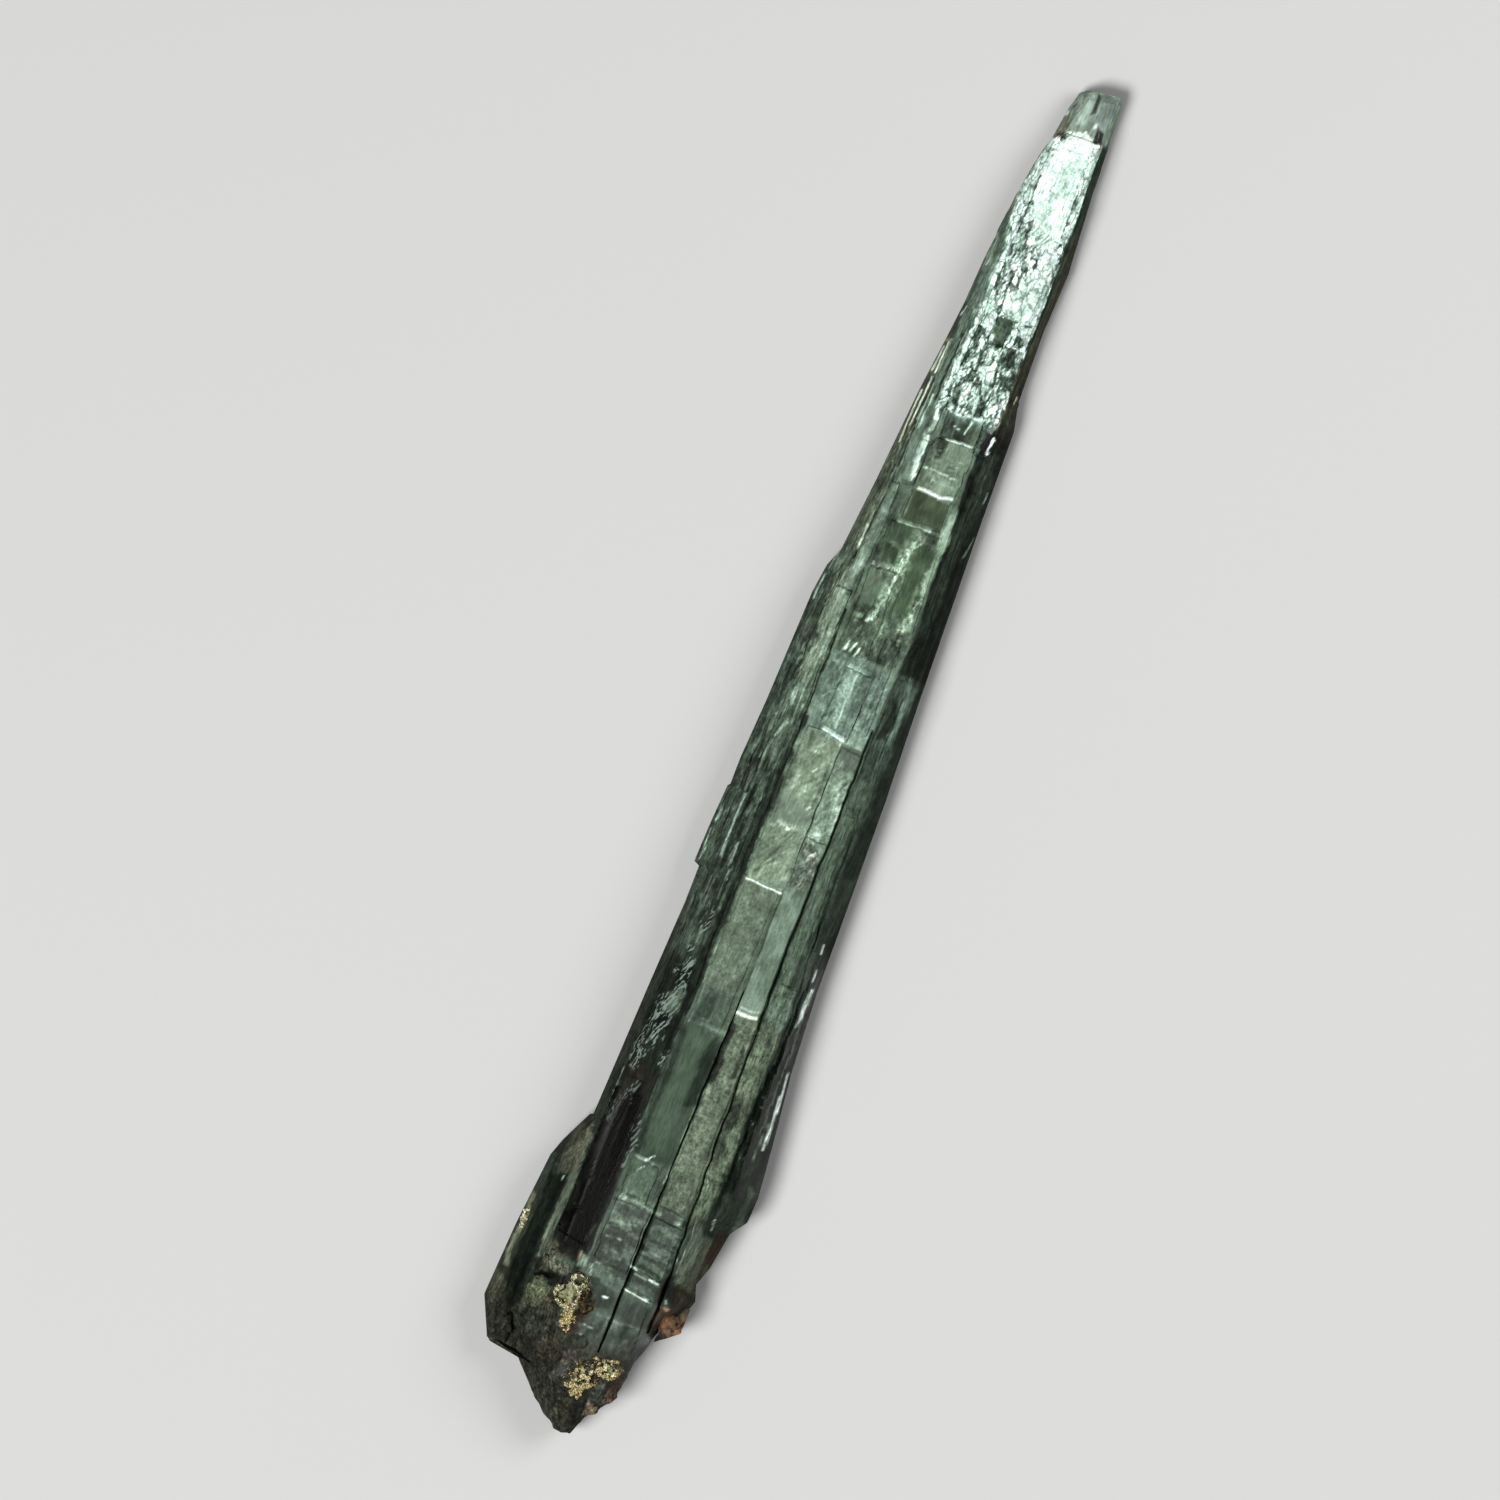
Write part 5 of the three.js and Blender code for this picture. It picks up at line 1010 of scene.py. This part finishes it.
def gritty_material(name, strength, depth):
    """A material with its colour from the piece's points and a fine grit."""
    material, nodes = new_material(name)
    colours = node(nodes, "ShaderNodeAttribute", attribute_name="tint")
    place = node(nodes, "ShaderNodeTexCoord").outputs["Object"]
    grit = node(nodes, "ShaderNodeTexNoise", Scale=5200.0, Detail=4.0, Vector=place)
    bump = node(nodes, "ShaderNodeBump", Strength=strength, Distance=depth, Height=grit.outputs["Fac"])
    dress(nodes["Principled BSDF"], Base_Color=colours.outputs["Color"], Normal=bump.outputs[0])
    return material, nodes


golden, golden_nodes = gritty_material("golden_crust", 0.6, 0.00008)
dress(golden_nodes["Principled BSDF"], Metallic=0.1, Roughness=0.5, Specular_IOR_Level=0.3)


def slab(name, whole, upper, lower, number):
    """A closed mesh from an upper and a lower sheet over the whole cells of a grid, walled in between."""
    count = len(upper)
    sides = []
    for i, j in zip(*np.nonzero(whole)):
        ring = (number[i, j], number[i, j + 1], number[i + 1, j + 1], number[i + 1, j])
        sides += [ring, tuple(n + count for n in reversed(ring))]
    mesh = bpy.data.meshes.new(name)
    mesh.from_pydata(in_frame([*upper, *lower]), [], sides)
    shape = bmesh.new()
    shape.from_mesh(mesh)
    shape.verts.ensure_lookup_table()
    rim = [e for e in shape.edges if e.is_boundary and all(v.index < count for v in e.verts)]
    for edge in rim:
        loop = edge.link_loops[0]
        first, second = loop.vert.index, loop.link_loop_next.vert.index
        shape.faces.new([shape.verts[n] for n in (second, first, first + count, second + count)])
    shape.to_mesh(mesh)
    shape.free()
    mesh.polygons.foreach_set("use_smooth", np.ones(len(mesh.polygons), bool))
    return mesh


def sharp_grains(name, draw, places, colours, size):
    """Sharp little eight-sided crystals standing at the places, each in its own shade."""
    octahedron = [(1, 0, 0), (-1, 0, 0), (0, 1, 0), (0, -1, 0), (0, 0, 1), (0, 0, -1)]
    upper_faces = [(0, 2, 4), (2, 1, 4), (1, 3, 4), (3, 0, 4)]
    lower_faces = [(2, 0, 5), (1, 2, 5), (3, 1, 5), (0, 3, 5)]
    points, sides, shades = [], [], []
    for place, colour in zip(places, colours):
        grain = size * draw.uniform(0.5, 1.25)
        turn = Euler(draw.uniform(0, 3.1, 3)).to_matrix() @ Matrix.Diagonal(draw.uniform(0.7, 1.3, 3))
        centre = Vector(place) + Vector((*draw.uniform(-0.04, 0.04, 2), grain * 0.35))
        start = len(points)
        points += [centre + turn @ Vector(c) * grain for c in octahedron]
        sides += [tuple(start + n for n in f) for f in upper_faces + lower_faces]
        own = colour + (np.array(CREAM) - colour) * draw.uniform(0, 0.4)
        shades += [np.clip(own * draw.uniform(0.25, 2.0), 0, 0.85)] * 6
    mesh = bpy.data.meshes.new(name)
    mesh.from_pydata(in_frame(points), [], sides)
    colour_piece(mesh, "tint", np.array(shades))
    return mesh


def golden_crust(name, node_name, outline_blobs, rims, pits, zones, grains, grain_size, seed):
    """Builds one crust. Blobs, rims, pits: [x, y, radius, height]. Zones: [hue, x, y, radius, strength]."""
    blobs = np.array(outline_blobs)
    low = (blobs[:, :2] - blobs[:, 2:3]).min(0) - 0.3
    high = (blobs[:, :2] + blobs[:, 2:3]).max(0) + 0.3
    gx, gy = np.meshgrid(np.arange(low[0], high[0], BED_STEP), np.arange(low[1], high[1], BED_STEP))
    wobble_x = gx + 0.22 * cloud(gx / 0.5, gy / 0.5, seed)
    wobble_y = gy + 0.22 * cloud(gx / 0.5, gy / 0.5, seed + 1)

    def reach(x, y, r):
        """1 at a blob's middle, 0 at its radius and less beyond."""
        return 1 - np.hypot(wobble_x - x, wobble_y - y) / r

    def ring(x, y, r, width):
        """1 along a circle, less beside it."""
        return np.exp(-((np.hypot(wobble_x - x, wobble_y - y) - r) / width) ** 2)

    # the bed's thickness
    cover = np.max([reach(x, y, r) for x, y, r, _ in outline_blobs], axis=0)
    thick = np.max([h * np.sqrt(np.clip(reach(x, y, r), 0, 1)) for x, y, r, h in outline_blobs], axis=0)
    thick += 0.16 * rough(gx / 0.32, gy / 0.32, seed + 2) * rise(cover, 0, 0.15)
    gaps = rise(rough(gx / 0.36, gy / 0.36, seed + 11), -0.02, 0.2)
    thick -= 0.12 * gaps
    for x, y, r, h in rims:
        thick += h * ring(x, y, r, 0.16)
    hollow = np.zeros_like(gx)
    for x, y, r, h in pits:
        thick -= h * rise(reach(x, y, r), 0, 0.5)
        hollow = np.maximum(hollow, rise(reach(x, y, r), 0, 0.4))
    thick = np.maximum(thick, 0.02 + 0.12 * hollow)

    # its colours
    tint = np.broadcast_to(UMBER, gx.shape + (3,)).copy()
    for hue, x, y, r, strength in zones:
        tinge(tint, hue, rise(reach(x, y, r) + 0.25 * cloud(gx / 0.3, gy / 0.3, seed + 5), 0, 0.3) * strength)
    for x, y, r, _ in rims:
        tinge(tint, CREAM, 0.85 * ring(x, y, r, 0.1) * rise(cover, 0, 0.1))
    tinge(tint, OLIVE_PIT, 0.85 * gaps * (1 - hollow))
    mottle = 0.42 + 0.5 * hollow + 0.75 * rough(gx / 0.2, gy / 0.2, seed + 8)
    bed = tint * np.clip(mottle, 0.08, 1.2)[..., None]

    # the grid's cells that the bed covers, and their corners
    reached = cover > -0.04
    whole = reached[:-1, :-1] & reached[:-1, 1:] & reached[1:, :-1] & reached[1:, 1:]
    inside = np.zeros_like(reached)
    for part in (inside[:-1, :-1], inside[:-1, 1:], inside[1:, :-1], inside[1:, 1:]):
        part |= whole
    number = np.full(gx.shape, -1)
    number[inside] = np.arange(inside.sum())
    ground = np.array([seat(x, y) for x, y in zip(gx[inside], gy[inside])])
    upper = np.column_stack([gx[inside], gy[inside], ground + thick[inside] - BED_SUNK])
    lower = np.column_stack([gx[inside], gy[inside], ground - BED_DEPTH])
    bed_mesh = slab(name, whole, upper, lower, number)
    colour_piece(bed_mesh, "tint", np.concatenate([bed[inside], bed[inside]]))

    # the grains, most of them where the bed is bright
    draw = np.random.default_rng(seed)
    bright = rise(tint[inside].mean(1), 0.05, 0.35) * (cover[inside] > 0.1) * (1 - 0.93 * hollow[inside])
    bright += 0.01
    picked = draw.choice(len(upper), grains, p=bright / bright.sum())
    grain_mesh = sharp_grains(name + "_grains", draw, upper[picked], tint[inside][picked], grain_size)
    crust, standing = add(name, bed_mesh), add(name + "_grains", grain_mesh)
    for made in (crust, standing):
        made.data.materials.append(golden)
    with bpy.context.temp_override(active_object=crust, selected_editable_objects=[crust, standing]):
        bpy.ops.object.join()
    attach(crust, "root")
    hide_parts(node_name)


golden_crust(
    "front_pocket_crust", "golden_crust_front",
    outline_blobs=[[-4.35, 12.5, 1.3, 0.42], [-3.7, 14.2, 0.95, 0.4], [-2.5, 12.4, 1.1, 0.7],
                   [-2.7, 13.2, 0.8, 0.6], [-3.3, 10.8, 0.95, 0.5], [-3.4, 9.9, 0.7, 0.4]],
    rims=[[-4.2, 12.6, 1.1, 0.35], [-3.75, 14.4, 0.6, 0.35]],
    pits=[[-4.25, 12.7, 1.0, 0.25], [-3.75, 14.35, 0.5, 0.5]],
    zones=[[STRAW_GREEN, -4.3, 12.4, 1.7, 1.0], [PALE_GOLD, -4.1, 11.5, 0.9, 0.8],
           [STRAW_GREEN, -3.7, 14.2, 1.2, 0.9], [PALE_GOLD, -3.3, 14.7, 0.6, 0.5],
           [DARK_GOLD, -2.4, 12.5, 1.25, 0.95], [PALE_GOLD, -3.3, 10.2, 1.2, 0.9],
           [OLIVE_PIT, -5.0, 13.2, 0.45, 0.9], [OLIVE_PIT, -3.75, 14.35, 0.45, 1.0],
           [UMBER, -2.3, 13.2, 0.35, 0.7], [UMBER, -2.9, 11.9, 0.3, 0.7]],
    grains=1100, grain_size=0.07, seed=7)
golden_crust(
    "foot_crust", "golden_crust_foot",
    outline_blobs=[[-0.3, 4.0, 0.85, 0.4], [-0.5, 5.1, 1.25, 0.5], [0.3, 6.1, 1.4, 0.6], [1.1, 6.9, 1.2, 0.6],
                   [2.3, 7.4, 1.1, 0.55], [3.0, 7.8, 0.7, 0.4]],
    rims=[[2.3, 7.4, 0.45, 0.25]],
    pits=[[2.3, 7.4, 0.35, 0.25]],
    zones=[[PALE_GOLD, 0.1, 5.4, 2.0, 0.8], [PALE_GOLD, 1.9, 7.3, 2.0, 0.75],
           [STRAW_GREEN, 2.3, 7.5, 0.7, 0.7], [CREAM, 0.5, 6.4, 0.8, 0.4], [DARK_GOLD, -1.3, 5.6, 0.6, 0.7],
           [DARK_GOLD, 1.3, 6.0, 0.5, 0.8], [UMBER, -0.6, 7.0, 0.4, 0.6], [DARK_GOLD, 3.2, 8.3, 0.6, 0.7]],
    grains=1700, grain_size=0.075, seed=19)
golden_crust(
    "side_blade_crust", "golden_crust_side_blade",
    outline_blobs=[[-10.85, 17.9, 0.45, 0.25], [-10.8, 18.5, 0.4, 0.22], [-10.9, 17.2, 0.35, 0.2]],
    rims=[], pits=[],
    zones=[[CREAM, -10.85, 18.0, 1.2, 0.9]],
    grains=150, grain_size=0.09, seed=31)


# ==== The rusty knob =============================================================================
# A lump of rusty matrix stuck to the crystal's right edge: orange-brown and crumbly, and smooth dark
# olive at its end towards the tip. It is pressed against the crystal where it grew on.
KNOB_HEART = Vector((6.2, 13.5, 4.7))
KNOB_FAR = 8  # plumb lines start this far from the heart
KNOB_LEAST = 0.9
INTO_CRYSTAL = 2.1  # how far the knob reaches from its heart towards the crystal
INTO_BULGE = 2.3  # and towards the olive bulge above it
LOWER_FLAT, RIGHT_FLAT = 1.02, 1.1  # two flattened sides, from the heart
RUST_GROUND = (0.018, 0.013, 0.009)
OLIVE_GLASS = (0.045, 0.040, 0.018)
knob_solid = search_tree("rusty_matrix_knob")
knob_shape = bmesh.new()
bmesh.ops.create_icosphere(knob_shape, subdivisions=6, radius=1)
ways = np.array([v.co.normalized() for v in knob_shape.verts])
way_x, way_y, way_z = ways.T
outside = [knob_solid.ray_cast(KNOB_HEART + KNOB_FAR * Vector(w), -Vector(w))[3] or KNOB_FAR for w in ways]
reach = KNOB_FAR - np.array(outside)
lumps = rough(way_x * 2.2 + 9, way_y * 2.2 + way_z * 1.7, 91, 4)
knob_crumbs = rough(way_x * 7 + 3, way_y * 7 + way_z * 6, 95, 3)
reach = np.maximum(reach, KNOB_LEAST) * (1 + 0.10 * lumps)
reach = reach + (INTO_CRYSTAL - reach) * rise(-0.93 * way_x + 0.37 * way_y, 0.25, 0.75)
olive_end = rise(way_y + 0.15 * lumps, 0.7, 0.85)
reach += 0.08 * knob_crumbs * (1 - 0.85 * olive_end)
reach = reach + (INTO_BULGE - reach) * rise(0.45 * way_x + 0.89 * way_y - 0.4 * np.abs(way_z), 0.8, 0.98)
outward = 0.64 * way_x - 0.77 * way_y
reach = np.minimum(reach, (LOWER_FLAT + 0.06 * knob_crumbs) / np.maximum(outward, 0.1))
reach = np.minimum(reach, (RIGHT_FLAT + 0.05 * knob_crumbs) / np.maximum(way_x, 0.1))
for vert, way, far in zip(knob_shape.verts, ways, reach):
    vert.co = (KNOB_HEART + Vector(way) * far + FOOT) * MM
knob_mesh = bpy.data.meshes.new("rusty_knob")
knob_shape.to_mesh(knob_mesh)
knob_shape.free()
knob_mesh.polygons.foreach_set("use_smooth", np.ones(len(knob_mesh.polygons), bool))

knob_x, knob_y = (KNOB_HEART[i] + ways[:, i] * reach for i in (0, 1))
crumbly_part = rise(knob_y + 0.5 * lumps, 12.2, 12.9) * rise(knob_x + 0.3 * lumps, 5.0, 5.4)
lower_edge = rise(0.5 * knob_x - 0.86 * knob_y + 0.3 * knob_crumbs, -8.2, -7.5)
rust = np.broadcast_to(RUST_GROUND, ways.shape).copy()
tinge(rust, (0.10, 0.056, 0.028), crumbly_part * rise(lumps + 0.4 * knob_crumbs, -0.9, -0.2))
tinge(rust, (0.17, 0.105, 0.050), crumbly_part * rise(knob_crumbs, 0.05, 0.3) * 0.8)
tinge(rust, (0.25, 0.125, 0.052), crumbly_part * rise(lumps - 0.5 * knob_crumbs, 0.15, 0.6) * 0.7)
tinge(rust, (0.28, 0.15, 0.075), crumbly_part * lower_edge * 0.7)
tinge(rust, (0.03, 0.018, 0.009), rise(-knob_crumbs, 0.1, 0.5) * 0.35)
tinge(rust, (0.06, 0.045, 0.03), rise(outward, 0.8, 0.95) * (1 - crumbly_part))
tinge(rust, OLIVE_GLASS, olive_end)
colour_piece(knob_mesh, "tint", rust)
colour_piece(knob_mesh, "look", olive_end[:, None])

rusty, rusty_nodes = gritty_material("rusty_matrix", 0.5, 0.0001)
polished = node(rusty_nodes, "ShaderNodeAttribute", attribute_name="look")
polish = node(rusty_nodes, "ShaderNodeMapRange", To_Min=0.75, To_Max=0.18, Value=polished.outputs["Fac"])
dress(rusty_nodes["Principled BSDF"], Roughness=polish.outputs[0])
knob_mesh.materials.append(rusty)
knob = add("rusty_knob", knob_mesh)
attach(knob, "root")
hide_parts("rusty_matrix_knob")


# ==== Floor, light and camera ====================================================================
# A plain pale table top, one large soft lamp high up at the foot's left, a weak one to the right, and
# a camera straight above, turned so that the blade leans to the right.
TABLE = 3  # half its width, in metres from here on
floor_mesh = bpy.data.meshes.new("table_top")
table_corners = [(-TABLE, -TABLE, 0), (TABLE, -TABLE, 0), (TABLE, TABLE, 0), (-TABLE, TABLE, 0)]
floor_mesh.from_pydata(table_corners, [], [(0, 1, 2, 3)])
table_top = add("table_top", floor_mesh)
pale, pale_nodes = new_material("pale_table")
dress(pale_nodes["Principled BSDF"], Base_Color=(0.47, 0.47, 0.46, 1), Roughness=0.9)
floor_mesh.materials.append(pale)

world = bpy.data.worlds.new("studio")
bpy.context.scene.world = world
world.use_nodes = True
dress(world.node_tree.nodes["Background"], Color=(0.9, 0.95, 1.0, 1), Strength=0.11)


def lamp(name, place, aim, size, power):
    light = bpy.data.lights.new(name, "AREA")
    light.shape, light.size, light.energy = "DISK", size, power
    made = add(name, light)
    made.location = place
    made.rotation_euler = (Vector(aim) - Vector(place)).to_track_quat("-Z", "Y").to_euler()


lamp("key", (-0.34, -0.50, 1.10), (0, 0.02, 0), size=0.55, power=16.6)
lamp("fill", (0.32, 0.25, 0.42), (0, 0.03, 0), size=0.35, power=1.5)

LEAN = math.radians(21.95)
CAMERA_HEIGHT = 2.0
PICTURE_MIDDLE = (-0.00638, -0.00207)
CRYSTAL_EDGE = 0.003  # the height of the crystal's edges
FIELD = 0.1452  # width of the picture at that height
FILM = 36
camera_data = bpy.data.cameras.new("camera")
camera_data.sensor_width = FILM
camera_data.lens = FILM * (CAMERA_HEIGHT - CRYSTAL_EDGE) / FIELD
camera_data.clip_start = 0.01
camera = add("camera", camera_data)
right = Vector((math.cos(LEAN), math.sin(LEAN), 0))
up = Vector((-math.sin(LEAN), math.cos(LEAN), 0))
camera.matrix_world = Matrix((right, up, (0, 0, 1))).transposed().to_4x4()
camera.location = (*PICTURE_MIDDLE, CAMERA_HEIGHT)
bpy.context.scene.camera = camera

bpy.context.scene.view_settings.view_transform = "Standard"
bpy.context.scene.view_settings.look = "Medium High Contrast"
